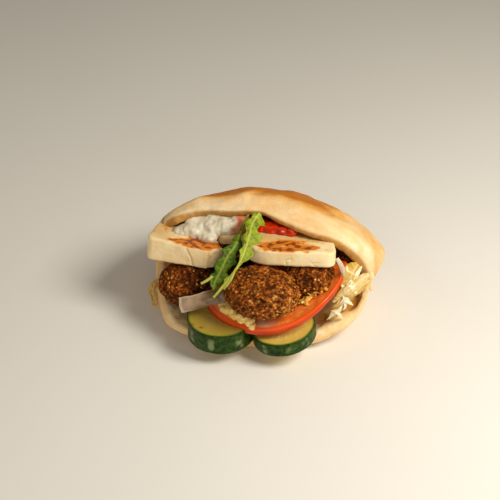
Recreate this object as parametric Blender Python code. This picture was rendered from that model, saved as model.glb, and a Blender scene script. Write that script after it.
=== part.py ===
# Half of a pita bread, opened at its cut and filled with falafel, grilled cheese, tomato, cucumber,
# salad and sauces. It lies on its flat base with the open mouth to the front.
# The frame is +X right, +Y back, +Z up, in metres, with the origin under the middle of the whole.

import math

import bmesh
import bpy
from mathutils import Matrix, Vector, noise

MM = 0.001
GAP = 0.4 * MM  # clearance left between neighbouring pieces
ROUND_GAP = 0.9 * MM  # the same clearance where a plain ellipsoid stands in for a craggy ball

# The bread. CORNER is the end of the mouth, where the two layers meet; the middle section swells from it.
# Each profile row is y, z and the half width of the bread along that line, from the upper lip over the
# back to the lower lip. All in millimetres.
THICKNESS = 5.5
CORNER_X = 66
CORNER_Z = 33
UPPER_PROFILE = ((2, 68, 67), (13, 72, 72.5), (29, 67, 76.5), (48, 52, 80), (58, 36, 79.5))
LOWER_PROFILE = ((54, 14, 69), (38, 1, 64.5), (12, -1, 63.5), (-20, -1, 63.5), (-33, -0.5, 65), (-40, 1, 66))
LOWER_FLATNESS = 0.65  # below 1, the bottom stays low further out before it climbs to the corners
LIP_FULLNESS = (0.75, 0.42)  # below 1, the upper lip stays high further out: towards the right, and the left
LIP_LIFTS = ((0, 0.45, 2.2), (0.75, 0.22, 4))  # where across the mouth, how wide and how far the lip is raised
LEFT_FALL = (1.25, 1.7)  # above 1, the back draws in (y) and drops (z) sooner towards the left corner
RIGHT_FALL = (1.0, 1.1)  # and towards the right corner
RIGHT_DROP = 5  # how much lower the right corner of the mouth lies than the left one
LEFT_SHARE_TOP = 0.92  # reach of the left end beside the right end, at the upper lip
LEFT_SHARE_BOTTOM = 0.99  # and at the lower lip
UPPER_ADVANCE = 8  # how far the upper lip comes forward right of the middle
LOWER_ADVANCE = 12  # how far the lower lip comes forward left of the middle
STATIONS = 23
SPAN_SAMPLES = 2  # samples between two profile rows
FIRST_STATION = math.radians(7)
BREAD_UNEVENNESS = 1.0
BREAD_DIMPLES = 22  # size of the unevenness

# Round slices: middle, radius, thickness, and the way the top face looks.
CUCUMBERS = {
    "cucumber_left": dict(middle=(-14.4, -41.6, 15.7), radius=19.9, thickness=13.4, normal=(0, -0.02, 1)),
    "cucumber_right": dict(middle=(22.0, -37.0, 13.9), radius=18.7, thickness=8.4, normal=(-0.15, -0.02, 1)),
}
TOMATO = dict(middle=(9.0, -10.0, 31.4), radius=43, thickness=6.2, normal=(0, -0.245, 0.97))
TOMATO_CURL = 12  # how far the right side of the tomato is pushed up by the salad

# Falafels: middle, radii, a turn about Z in degrees, noise seed, sphere subdivisions.
FALAFELS = {
    "falafel_middle": dict(middle=(9.2, -39.5, 41.7), radii=(24, 20, 14.5), turn=-6, seed=1, detail=4),
    "falafel_left": dict(middle=(-38, -23, 27), radii=(20.5, 19, 14.8), turn=10, seed=2, detail=3),
    "falafel_right": dict(middle=(31, -15.5, 42), radii=(17, 19, 13), turn=20, seed=3, detail=3),
    "falafel_back": dict(middle=(50, 8, 42), radii=(14, 14, 10), turn=0, seed=4, detail=3),
    "falafel_inner": dict(middle=(-17, -8, 39.5), radii=(15, 15, 11), turn=0, seed=5, detail=3),
}
CRAG_SIZE = 5
CRAG_DEPTH = 2.0

# Grilled cheese: middle of the front bottom edge, width in front and behind, depth, height, tilt back,
# tilt to the right and turn about Z in degrees, the share of its height that it loses towards the right,
# and the radius of the front left corner.
HALLOUMI = {
    "halloumi_left": dict(edge=(-41.3, -25.7, 41.5), width=46.5, behind=30, depth=38, height=14.6, back=12,
                          right=1, turn=0, drop=0.2, corner=4),
    "halloumi_right": dict(edge=(22.8, -27, 53.0), width=53, behind=48, depth=42, height=9.8, back=9.5,
                           right=0.5, turn=11, drop=0, corner=15),
    "halloumi_back": dict(edge=(-15.0, -8, 44.5), width=22, behind=22, depth=30, height=9.5, back=0,
                          right=0, turn=0, drop=0, corner=5),
}
SLAB_RIM = 1.2  # radius of the long edges of a slab

# Sauces are heaps of overlapping drops: x, y, z, and radii in x, y and z.
SAUCES = {
    "tzatziki": ((-46, -5, 50.5, 8, 6.5, 4.5), (-39, -1, 52.5, 9, 9.5, 5.3), (-32, -10, 51.8, 6.5, 7, 4),
                 (-28, 1, 54.5, 9, 10, 5.8), (-20.5, 1, 56.8, 8, 8.5, 5.5), (-14.5, 2, 57.5, 6.5, 8, 6.5)),
    "chilli_sauce": ((-1.5, 0, 59.5, 6.5, 7, 3.6), (6.5, -1, 59.8, 7.5, 6, 3.6), (13.5, -2.5, 60, 6.5, 4.5, 3.4),
                     (18.5, -4, 61, 4, 3.5, 2.8)),
    "hummus": ((-13.5, -39, 27.6, 3.4, 3.2, 2.8), (-9.5, -43, 27, 3.6, 3.2, 2.8),
               (-5, -46, 26.6, 3.6, 3.2, 2.8), (0, -48, 26.4, 4, 3.2, 2.8), (4.5, -49.5, 26.2, 4, 3.2, 3),
               (7.4, -53.2, 24.5, 2.2, 2.4, 3.2)),
}

# Leaves and strips: points along the middle, half widths along it, the way the face looks, thickness,
# how deep the edge is lobed and how strongly it waves.
CAMERA_SIDE = (0.2, -0.8, 0.6)
ROCKET = {
    "rocket_light": dict(line=((-0.8, -3, 70.2), (-2.5, -10, 69.3), (-2.6, -18, 66.7), (-2.5, -27, 63.5),
                               (-3.3, -34, 60.1), (-4.5, -39, 57.5), (-7.7, -43.5, 52.7),
                               (-11.8, -47, 47.0), (-16.3, -50, 40.9)),
                         widths=(0.8, 3.6, 5.0, 4.4, 2.6, 0.9, 0.8, 0.8, 0.7), lobes=0.45),
    "rocket_dark": dict(line=((-7.6, -3, 68.3), (-8.9, -9, 65.2), (-9.4, -17, 62.6), (-9.8, -25, 60.8),
                              (-12.7, -31, 57.1), (-15.1, -36, 51.3), (-17.9, -40, 44.7),
                              (-18.3, -43, 40.8)),
                        widths=(0.8, 0.9, 0.9, 3.0, 4.4, 4.8, 3.6, 0.9), lobes=0.4),
    "rocket_sprig": dict(line=((-25.2, -44, 44.8), (-22.1, -43, 46.8), (-19.2, -41, 48.9)),
                         widths=(0.7, 0.7, 0.7), lobes=0.0),
}
ROCKET_THICKNESS = 0.9
STRIPS = {
    "onion": dict(line=((-37.5, -46.5, 28.6), (-30.8, -47, 31.6), (-24, -45, 34), (-17.5, -42, 35.4),
                        (-12.5, -40, 35.6)),
                  widths=(4.6, 4.4, 4.3, 4.4, 4.6), thickness=1.8),
    "lettuce_left": dict(line=((-60.8, -18, 22.4), (-62.2, -22, 19.4), (-61.5, -25, 16.8),
                               (-59.5, -28, 13.4), (-56.3, -31, 10.1)),
                         widths=(2.2, 2.6, 2.6, 2.4, 1.2), thickness=1.2),
    "lettuce_rib": dict(line=((49.0, -21, 55.8), (50.9, -19.5, 52.0), (51.9, -17, 46.7), (52.3, -14.5, 40.2)),
                        widths=(1.8, 2.2, 1.6, 0.8), thickness=1.4),
}

# The shredded lettuce: drops that make up its body, and the shreds that stick out of it on the right.
LETTUCE_BODY = ((4, 14, 24, 48, 29, 15), (44.5, -3, 26, 14, 18, 15), (-43, 6, 24, 14, 20, 13))
LETTUCE_SHREDS = (
    dict(line=((56, -1, 41), (55.6, -12, 38.6), (54.0, -18, 35.1), (52.1, -23, 30.9)), widths=(3, 3, 2.6, 1.5)),
    dict(line=((58, 0, 36), (60, -11, 34.4), (59.4, -18, 31.1), (56.6, -24, 27.4)), widths=(3, 3, 2.6, 1.5)),
    dict(line=((57, 2, 30), (61.5, -9, 29), (60.4, -16, 26.5), (57.2, -22, 23.2)), widths=(3, 3, 2.4, 1.4)),
    dict(line=((48, -8, 30), (53, -19, 31), (52.5, -25, 26.8), (49, -29, 22.4)), widths=(3, 3, 2.6, 1.6)),
    dict(line=((45, -10, 27), (48, -22, 27.9), (46.5, -27, 24.2), (43.1, -31, 19.6)), widths=(3, 3, 2.6, 1.6)),
)
SHRED_THICKNESS = 1.8


def spline(points, samples):
    """Catmull-Rom curve through the points, with that many samples in each span."""
    padded = [2 * points[0] - points[1], *points, 2 * points[-1] - points[-2]]
    out = []
    for k in range(len(points) - 1):
        a, b, c, d = padded[k:k + 4]
        for n in range(samples):
            t = n / samples
            out.append(0.5 * (2 * b + (c - a) * t + (2 * a - 5 * b + 4 * c - d) * t * t
                              + (3 * b - a - 3 * c + d) * t ** 3))
    out.append(points[-1].copy())
    return out


def material(name, colour, roughness=0.6):
    """A plain finish for one kind of food."""
    made = bpy.data.materials.new(name)
    made.use_nodes = True
    shader = made.node_tree.nodes["Principled BSDF"]
    shader.inputs["Base Color"].default_value = (*colour, 1.0)
    shader.inputs["Roughness"].default_value = roughness
    shader.inputs["Metallic"].default_value = 0.0
    return made


def add_object(name, bm, finish):
    """Turns a bmesh into a named object of the scene."""
    bmesh.ops.remove_doubles(bm, verts=bm.verts, dist=0.00001)
    bmesh.ops.recalc_face_normals(bm, faces=bm.faces)
    mesh = bpy.data.meshes.new(name)
    bm.to_mesh(mesh)
    bm.free()
    made = bpy.data.objects.new(name, mesh)
    mesh.materials.append(finish)
    bpy.context.scene.collection.objects.link(made)
    return made


def smooth_step(t):
    """0 below 0, 1 above 1, and an even rise between."""
    t = min(max(t, 0.0), 1.0)
    return t * t * (3 - 2 * t)


def advance(s, upper_weight, lower_weight):
    """How far a profile row comes forward at station angle s."""
    if math.cos(s) > 0:
        return -upper_weight * UPPER_ADVANCE * math.sin(s) ** 2 * math.cos(s) / 0.385
    return -lower_weight * LOWER_ADVANCE * math.sin(2 * s) ** 2


def bread_x(s, half_width, row):
    """How far out a profile row is at station angle s; every row ends at the corner of the mouth."""
    reach = CORNER_X + (half_width - CORNER_X) * min(1.0, 2.2 * math.sin(s))
    rows = len(UPPER_PROFILE) + len(LOWER_PROFILE)
    left_share = LEFT_SHARE_TOP + (LEFT_SHARE_BOTTOM - LEFT_SHARE_TOP) * row / (rows - 1)
    side = math.cos(s)
    return reach * side * (1 if side > 0 else left_share)


def outer_line(s):
    """The bread's outer line at station angle s, from upper lip to lower lip."""
    swell = math.sin(s)
    side = math.cos(s)
    fall_y, fall_z = RIGHT_FALL if side > 0 else LEFT_FALL
    fullness = LIP_FULLNESS[0 if side > 0 else 1]
    corner_z = CORNER_Z - RIGHT_DROP * smooth_step(side)
    points = []
    for k, (y, z, half_width) in enumerate(UPPER_PROFILE):
        weight = max(0.0, 1 - 0.4 * k)
        power_z = 1 - weight ** 2 * (1 - fullness) * smooth_step(abs(side) / 0.5)
        lift = weight * sum(high * math.exp(-((side - at) / wide) ** 2) for at, wide, high in LIP_LIFTS)
        power_y = 1
        if k > 1:
            power_y = fall_y
            power_z *= fall_z
        points.append(Vector((bread_x(s, half_width, k), y * swell ** power_y + advance(s, weight, 0.0),
                              corner_z + (z - corner_z) * swell ** power_z + lift)))
    for k, (y, z, half_width) in enumerate(LOWER_PROFILE):
        weight = max(0.0, 0.5 * (k - 3))
        power_y = fall_y if k == 0 else 1
        row = len(UPPER_PROFILE) + k
        points.append(Vector((bread_x(s, half_width, row), y * swell ** power_y + advance(s, 0.0, weight),
                              corner_z + (z - corner_z) * swell ** LOWER_FLATNESS)))
    return spline(points, SPAN_SAMPLES)


def inner_line(outer, s):
    """The outer line moved inwards by the bread's thickness, and never past the middle of the section."""
    depth = min(THICKNESS, 0.4 * CORNER_Z * math.sin(s))
    out = []
    for j, p in enumerate(outer):
        before = outer[max(j - 1, 0)]
        after = outer[min(j + 1, len(outer) - 1)]
        along = Vector((0, after.y - before.y, after.z - before.z)).normalized()
        inward = Vector((0, along.z, -along.y))
        squeezed = p.x * (1 - THICKNESS / (CORNER_X + 6))
        out.append(Vector((squeezed, p.y, p.z)) + inward * depth)
    return out


def lip(outer_end, inner_end, along, steps=3):
    """The rounded edge between the outer and the inner line."""
    middle = (outer_end + inner_end) / 2
    reach = (outer_end - inner_end).length * 0.4
    out = []
    for k in range(1, steps + 1):
        angle = math.pi * k / (steps + 1)
        out.append(middle + (outer_end - middle) * math.cos(angle) + along * reach * math.sin(angle))
    return out


def station_angles():
    last = math.pi - FIRST_STATION
    return [FIRST_STATION + (last - FIRST_STATION) * k / (STATIONS - 1) for k in range(STATIONS)]


def uneven(point, amount, size):
    """The point moved by smooth noise, as baked food is never true."""
    at = point / size
    shifts = [noise.noise(at + Vector((offset, 0, 0))) for offset in (31.7, 57.3, 83.9)]
    return point + Vector(shifts) * 2 * amount


def bread_loops():
    """One closed loop of points for each station, and how many of them are outer points."""
    loops = []
    for s in station_angles():
        outer = outer_line(s)
        inner = inner_line(outer, s)
        low_along = (outer[-1] - outer[-2]).normalized()
        high_along = (outer[0] - outer[1]).normalized()
        loop = [*outer, *lip(outer[-1], inner[-1], low_along), *reversed(inner),
                *lip(inner[0], outer[0], high_along)]
        loops.append(loop)
    return loops, len(outer)


def build_bread(finish):
    """The pocket: a curved shell, closed at the back and at both ends of the mouth."""
    loops, count = bread_loops()
    bm = bmesh.new()
    rings = []
    for loop in loops:
        ring = []
        for p in loop:
            moved = uneven(p, BREAD_UNEVENNESS, BREAD_DIMPLES)
            moved.z = max(moved.z, 0.0)
            ring.append(bm.verts.new(moved * MM))
        rings.append(ring)
    total = len(rings[0])
    for a, b in zip(rings, rings[1:]):
        for j in range(total):
            bm.faces.new((a[j], a[(j + 1) % total], b[(j + 1) % total], b[j]))
    inner_from = count + 3
    for ring, side in ((rings[0], 1), (rings[-1], -1)):
        outer = ring[:count]
        inner = ring[inner_from:inner_from + count]
        pole_at = sum((v.co for v in outer), Vector()) / count
        pole = bm.verts.new(pole_at + Vector((side * 1.2 * MM, 0, 0)))
        for j in range(count):
            bm.faces.new((outer[j], outer[(j + 1) % count], pole))
        hollow = bm.verts.new(sum((v.co for v in inner), Vector()) / count)
        for j in range(count):
            bm.faces.new((inner[j], inner[(j + 1) % count], hollow))
        low = ring[count:inner_from]
        high = ring[inner_from + count:]
        wall = [outer[-1], *low, inner[0]]
        facing = [outer[0], *reversed(high), inner[-1]]
        for k in range(len(wall) - 1):
            bm.faces.new((wall[k], wall[k + 1], facing[k + 1], facing[k]))
    return add_object("pita", bm, finish)


def placed(normal, middle):
    """Matrix that stands a flat shape on its middle, with Z along the normal and X to the right."""
    up = Vector(normal).normalized()
    right = (Vector((1, 0, 0)) - up * up.x).normalized()
    turn = Matrix((right, up.cross(right), up)).transposed().to_4x4()
    return Matrix.Translation(Vector(middle) * MM) @ turn


def skin_over(bm, rings):
    """Joins closed rings of equally many corners by quads, and returns how many corners they have."""
    count = len(rings[0])
    for a, b in zip(rings, rings[1:]):
        for k in range(count):
            bm.faces.new((a[k], a[(k + 1) % count], b[(k + 1) % count], b[k]))
    return count


def build_slice(name, finish, middle, radius, thickness, normal, sides=32, rim=1.2, wobble=0.0, curl=0.0):
    """A round slice with a slightly rounded rim; a curled one has rings in its faces to bend at."""
    half = thickness / 2
    outline = [(radius - rim, -half), (radius - 0.3 * rim, -half + 0.35 * rim), (radius, -half + rim),
               (radius, half - rim), (radius - 0.3 * rim, half - 0.35 * rim), (radius - rim, half)]
    if curl:
        shares = (0.33, 0.66)
        outline = ([(radius * share, -half) for share in shares] + outline
                   + [(radius * share, half) for share in reversed(shares)])
    place = placed(normal, middle)
    bm = bmesh.new()
    rings = []
    for r, z in outline:
        ring = []
        for k in range(sides):
            angle = 2 * math.pi * k / sides
            swell = r * (1 + wobble * (math.sin(3 * angle + 1) + 0.6 * math.sin(5 * angle)))
            x = swell * math.cos(angle)
            y = swell * math.sin(angle)
            lift = curl * (max(0.0, 0.97 * x - 0.24 * y) / radius) ** 2.5
            ring.append(bm.verts.new(place @ (Vector((x, y, z + lift)) * MM)))
        rings.append(ring)
    skin_over(bm, rings)
    bm.faces.new(rings[0])
    bm.faces.new(rings[-1])
    return add_object(name, bm, finish)


def ball(middle, radii, turn, detail):
    """A plain ellipsoid as a bmesh, in place."""
    bm = bmesh.new()
    bmesh.ops.create_icosphere(bm, subdivisions=detail, radius=1.0)
    size = Matrix.Diagonal((radii[0] * MM, radii[1] * MM, radii[2] * MM, 1))
    bm.transform(Matrix.Translation(Vector(middle) * MM) @ Matrix.Rotation(math.radians(turn), 4, "Z") @ size)
    return bm


def build_falafel(name, finish, middle, radii, turn, seed, detail):
    """A fried chickpea ball: an ellipsoid whose crust is broken into crags, all inside its envelope."""
    bm = ball(middle, radii, turn, detail)
    heart = Vector(middle) * MM
    for v in bm.verts:
        at = v.co / (CRAG_SIZE * MM) + Vector((seed * 11.0, 0, 0))
        crag = 0.5 + 0.5 * noise.noise(at) + 0.35 * noise.noise(at * 0.4)
        inward = (heart - v.co).normalized()
        v.co += inward * CRAG_DEPTH * MM * min(max(crag, 0.0), 1.0)
    return add_object(name, bm, finish)


def build_halloumi(name, finish, edge, width, behind, depth, height, back, right, turn, drop, corner):
    """A slab of cheese with rounded corners, lying back under the upper bread."""
    steps = 4
    outline = []
    for side, end, start in ((1, -1, -90), (1, 1, 0), (-1, 1, 90), (-1, -1, 180)):
        r = corner if end < 0 and side < 0 else min(corner, 6)
        for k in range(steps):
            angle = math.radians(start + 90 * k / (steps - 1))
            outline.append((side * (width / 2 - r) + r * math.cos(angle),
                            depth / 2 + end * (depth / 2 - r) + r * math.sin(angle)))
    levels = ((SLAB_RIM, 0), (0.3 * SLAB_RIM, 0.3 * SLAB_RIM), (0, SLAB_RIM), (0, height - SLAB_RIM),
              (0.3 * SLAB_RIM, height - 0.3 * SLAB_RIM), (SLAB_RIM, height))
    lean = Matrix.Rotation(math.radians(-back), 4, "X") @ Matrix.Rotation(math.radians(right), 4, "Y")
    place = Matrix.Translation(Vector(edge) * MM) @ Matrix.Rotation(math.radians(turn), 4, "Z") @ lean
    bm = bmesh.new()
    rings = []
    for inset, z in levels:
        ring = []
        for x, y in outline:
            taper = 1 + (behind / width - 1) * y / depth
            shrink_x = (1 - inset / (width / 2)) * taper
            shrink_y = 1 - inset / (depth / 2)
            shift = (1 - taper) * -width / 2
            level = z * (1 - drop * (x / width + 0.5))
            flat = Vector((x * shrink_x + shift, depth / 2 + (y - depth / 2) * shrink_y, level))
            ring.append(bm.verts.new(place @ (flat * MM)))
        rings.append(ring)
    skin_over(bm, rings)
    bm.faces.new(rings[0])
    bm.faces.new(rings[-1])
    return add_object(name, bm, finish)


def between(values, t):
    """Reads a row of values at t from 0 to 1."""
    at = t * (len(values) - 1)
    low = min(int(at), len(values) - 2)
    return values[low] + (values[low + 1] - values[low]) * (at - low)


def build_strip(name, finish, line, widths, thickness, facing=CAMERA_SIDE, lobes=0.0, samples=2, wave=0.5):
    """A thin leaf, shred or peel along a curve: two wavy faces, split into triangles alike, and a rim."""
    points = spline([Vector(p) for p in line], samples)
    across = (-1.0, -0.5, 0.0, 0.5, 1.0)
    bm = bmesh.new()
    top = []
    bottom = []
    for k, point in enumerate(points):
        t = k / (len(points) - 1)
        along = (points[min(k + 1, len(points) - 1)] - points[max(k - 1, 0)]).normalized()
        side = along.cross(Vector(facing)).normalized()
        up = side.cross(along)
        half = between(widths, t) * (1 + lobes * math.sin(2.1 * k))
        upper = []
        lower = []
        for share in across:
            ripple = wave * math.sin(1.1 * k + 2 * share) * abs(share) * min(1.0, half / 3)
            rim = 0.5 * thickness * (1 - 0.35 * share * share)
            at = point + side * (share * half)
            upper.append(bm.verts.new((at + up * (ripple + rim)) * MM))
            lower.append(bm.verts.new((at + up * (ripple - rim)) * MM))
        top.append(upper)
        bottom.append(lower)
    last = len(across) - 1
    for k in range(len(points) - 1):
        for rows in (top, bottom):
            a, b = rows[k], rows[k + 1]
            for j in range(last):
                bm.faces.new((a[j], a[j + 1], b[j]))
                bm.faces.new((a[j + 1], b[j + 1], b[j]))
        for j in (0, last):
            bm.faces.new((top[k][j], top[k + 1][j], bottom[k][j]))
            bm.faces.new((top[k + 1][j], bottom[k + 1][j], bottom[k][j]))
    for k in (0, -1):
        for j in range(last):
            bm.faces.new((top[k][j], top[k][j + 1], bottom[k][j]))
            bm.faces.new((top[k][j + 1], bottom[k][j + 1], bottom[k][j]))
    return add_object(name, bm, finish)


def combine(target, tool, operation):
    """Applies one Boolean to the target and takes the tool away."""
    cut = target.modifiers.new("cut", "BOOLEAN")
    cut.object = tool
    cut.operation = operation
    cut.solver = "EXACT"
    shape = bpy.data.meshes.new_from_object(target.evaluated_get(bpy.context.evaluated_depsgraph_get()))
    target.modifiers.clear()
    target.data = shape
    bpy.data.objects.remove(tool)


def grown(source, distance):
    """A copy of a piece, swollen by a distance, to cut its neighbours with."""
    tool = source.copy()
    tool.data = source.data.copy()
    bpy.context.scene.collection.objects.link(tool)
    normals = [v.normal.copy() for v in source.data.vertices]
    for v, normal in zip(tool.data.vertices, normals):
        v.co += normal * distance
    return tool


def envelope(name):
    """The plain ellipsoid that holds a falafel and its clearance."""
    sizes = FALAFELS[name]
    radii = [r + ROUND_GAP / MM for r in sizes["radii"]]
    return add_object("envelope", ball(sizes["middle"], radii, sizes["turn"], 3), bpy.data.materials[0])


def boxes_meet(a, b):
    """Whether the boxes of two pieces overlap."""
    lows = []
    highs = []
    for piece in (a, b):
        for store, pick in ((lows, min), (highs, max)):
            store.append([pick(v.co[k] for v in piece.data.vertices) for k in range(3)])
    return all(lows[0][k] < highs[1][k] and lows[1][k] < highs[0][k] for k in range(3))


def largest_island(bm):
    """Deletes every loose scrap but the largest connected part."""
    left = set(bm.verts)
    islands = []
    while left:
        seed = left.pop()
        island = {seed}
        to_visit = [seed]
        while to_visit:
            v = to_visit.pop()
            for edge in v.link_edges:
                other = edge.other_vert(v)
                if other in left:
                    left.discard(other)
                    island.add(other)
                    to_visit.append(other)
        islands.append(island)
    largest = max(islands, key=len)
    bmesh.ops.delete(bm, geom=[v for v in bm.verts if v not in largest], context="VERTS")


def tidy_cut(piece):
    """Cleans a cut piece: no scraps, and no needle-thin triangles where that keeps it closed."""
    for shortest in (0.03, 0.01, 0.002):
        bm = bmesh.new()
        bm.from_mesh(piece.data)
        bmesh.ops.triangulate(bm, faces=bm.faces)
        bmesh.ops.dissolve_degenerate(bm, edges=bm.edges, dist=shortest * MM)
        bmesh.ops.triangulate(bm, faces=bm.faces)
        largest_island(bm)
        closed = all(len(edge.link_faces) == 2 for edge in bm.edges)
        if closed:
            bmesh.ops.recalc_face_normals(bm, faces=bm.faces)
            bm.to_mesh(piece.data)
        bm.free()
        if closed:
            return


def carve(piece, neighbours):
    """Cuts the room its neighbours need, and a clearance, out of a piece."""
    for other in neighbours:
        tool = envelope(other.name) if other.name in FALAFELS else grown(other, GAP)
        bpy.context.view_layer.update()
        if boxes_meet(piece, tool):
            combine(piece, tool, "DIFFERENCE")
        else:
            bpy.data.objects.remove(tool)
    tidy_cut(piece)


def build_heap(name, finish, drops, detail):
    """Overlapping drops joined into one body."""
    bodies = [add_object(name, ball(drop[:3], drop[3:], 0, detail), finish) for drop in drops]
    heap = bodies[0]
    heap.name = name
    for body in bodies[1:]:
        combine(heap, body, "UNION")
    return heap


def build_lettuce(finish, neighbours):
    """The bed of shredded lettuce that fills the pocket, with loose shreds in the mouth on the right."""
    bed = build_heap("lettuce", finish, LETTUCE_BODY, 2)
    for shred in LETTUCE_SHREDS:
        strip = build_strip("shred", finish, thickness=SHRED_THICKNESS, samples=2, **shred)
        combine(bed, strip, "UNION")
    carve(bed, neighbours)
    return bed


def settle(pieces):
    """Moves everything so that the origin is under the middle of the whole, and returns the move."""
    corners = [v.co for piece in pieces for v in piece.data.vertices]
    low = [min(c[k] for c in corners) for k in range(3)]
    high = [max(c[k] for c in corners) for k in range(3)]
    move = Vector((-(low[0] + high[0]) / 2, -(low[1] + high[1]) / 2, -low[2]))
    for piece in pieces:
        for v in piece.data.vertices:
            v.co += move
    return move


def clear_scene():
    for old in list(bpy.data.objects):
        bpy.data.objects.remove(old)


def main():
    clear_scene()
    crust = material("crust", (0.86, 0.63, 0.34), 0.65)
    skin = material("cucumber", (0.10, 0.25, 0.05), 0.3)
    red = material("tomato", (0.75, 0.13, 0.05), 0.3)
    fried = material("falafel", (0.20, 0.08, 0.03), 0.85)
    cheese = material("halloumi", (0.90, 0.78, 0.52), 0.45)
    sauce_finishes = {
        "tzatziki": material("tzatziki", (0.88, 0.87, 0.80), 0.35),
        "chilli_sauce": material("chilli_sauce", (0.50, 0.03, 0.01), 0.15),
        "hummus": material("hummus", (0.80, 0.60, 0.25), 0.5),
    }
    rocket = material("rocket", (0.16, 0.35, 0.04), 0.45)
    pale = material("lettuce", (0.85, 0.78, 0.45), 0.4)
    lilac = material("onion", (0.66, 0.56, 0.50), 0.35)

    bread = build_bread(crust)
    cucumbers = [build_slice(name, skin, **sizes) for name, sizes in CUCUMBERS.items()]
    carve(cucumbers[0], [bread])
    carve(cucumbers[1], [bread, cucumbers[0]])
    tomato = build_slice("tomato", red, **TOMATO, sides=36, rim=2.4, wobble=0.012, curl=TOMATO_CURL)
    carve(tomato, [bread, *cucumbers])
    slabs = [build_halloumi(name, cheese, **sizes) for name, sizes in HALLOUMI.items()]
    for k, slab in enumerate(slabs):
        carve(slab, [bread, tomato, *slabs[:k]])
    done = [bread, *cucumbers, tomato, *slabs]
    for name, sizes in FALAFELS.items():
        falafel = build_falafel(name, fried, **sizes)
        carve(falafel, done)
        done.append(falafel)
    for name, sizes in STRIPS.items():
        finish = lilac if name == "onion" else pale
        strip = build_strip(name, finish, **sizes)
        carve(strip, done)
        done.append(strip)
    for name, drops in SAUCES.items():
        sauce = build_heap(name, sauce_finishes[name], drops, 1 if name == "hummus" else 2)
        carve(sauce, done)
        done.append(sauce)
    for name, sizes in ROCKET.items():
        leaf = build_strip(name, rocket, thickness=ROCKET_THICKNESS, **sizes)
        carve(leaf, done)
        done.append(leaf)
    done.append(build_lettuce(pale, done))
    return settle(done)


ORIGIN_SHIFT = main()
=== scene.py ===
# %% [markdown]
# # A filled half of pita bread
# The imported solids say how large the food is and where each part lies. This lesson loads them as a
# fixed frame, and then builds every visible food in its place as a fine mesh with a finish of its own.

# %% Load the fixed frame
import math
import random

import bmesh
import bpy
import numpy as np
from mathutils import Matrix, Vector, noise


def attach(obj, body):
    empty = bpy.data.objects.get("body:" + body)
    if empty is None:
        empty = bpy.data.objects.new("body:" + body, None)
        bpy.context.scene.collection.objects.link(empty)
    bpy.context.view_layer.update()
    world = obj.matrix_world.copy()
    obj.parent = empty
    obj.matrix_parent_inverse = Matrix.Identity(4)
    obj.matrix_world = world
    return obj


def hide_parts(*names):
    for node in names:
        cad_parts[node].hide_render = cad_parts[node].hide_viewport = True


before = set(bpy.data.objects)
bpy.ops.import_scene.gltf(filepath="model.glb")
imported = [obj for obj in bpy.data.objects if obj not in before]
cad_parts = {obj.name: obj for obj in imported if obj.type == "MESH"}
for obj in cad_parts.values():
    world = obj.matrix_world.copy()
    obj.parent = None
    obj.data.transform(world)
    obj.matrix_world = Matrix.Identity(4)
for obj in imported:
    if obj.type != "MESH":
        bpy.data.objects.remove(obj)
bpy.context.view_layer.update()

# %% [markdown]
# ## One drawing for all the food
# The solids were drawn in millimetres and then moved so that the origin is under the middle of the
# whole. All pieces below are drawn in the same millimetres, and `to_frame` brings them to metres in
# the frame. That keeps the numbers small and easy to compare with a ruler laid on real food.

# %% From the drawing to the frame
MM = 0.001
SHIFT = Vector((-1.7905, 2.2073, 0.0))


def to_frame(points):
    """Points of the drawing, in millimetres, as metres in the frame."""
    return (np.asarray(points, float).reshape(-1, 3) + np.array(SHIFT)) * MM


print("the falafel in the middle is at", to_frame((9.2, -39.5, 41.7))[0])

# %% [markdown]
# ## Camera
# The photograph looks down on the food by about 36 degrees, from a little to the right of the front.
# A long lens from 75 cm away keeps the slices as flat as they look there. The food isn't in the middle
# of the picture, so the camera aims slightly beside it and its lens is not shifted at all.

# %% Camera
TURN, TILT = math.radians(14), math.radians(36)
DISTANCE = 0.75
PIXEL = 0.6  # millimetres of the object in one pixel of a 500 pixel picture
ASIDE = 12  # pixels from the middle of the picture to the food, to the right and down
back = Vector((math.sin(TURN) * math.cos(TILT), -math.cos(TURN) * math.cos(TILT), math.sin(TILT)))
right = Vector((math.cos(TURN), math.sin(TURN), 0))
above = back.cross(right)
lens = bpy.data.cameras.new("camera")
lens.sensor_width = 36
lens.lens = 36 * DISTANCE / (500 * PIXEL * MM)
camera = bpy.data.objects.new("camera", lens)
bpy.context.scene.collection.objects.link(camera)
aim = Vector(to_frame((0, 0, 33))[0]) + (above - right) * ASIDE * PIXEL * MM
camera.location = aim + back * DISTANCE
camera.rotation_mode = "QUATERNION"
camera.rotation_quaternion = (-back).to_track_quat("-Z", "Y")
bpy.context.scene.camera = camera
print("camera at", tuple(round(c, 3) for c in camera.location))

# %% [markdown]
# ## Finishes
# A finish is a small tree of nodes. `Finish` keeps the tree and adds nodes in a few words: a cloud or
# a set of cells of a size in millimetres, a step between two values, a mix of two colours. The pieces
# carry values on their points, such as how baked a spot is, and a finish reads them with `painted`.

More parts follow.
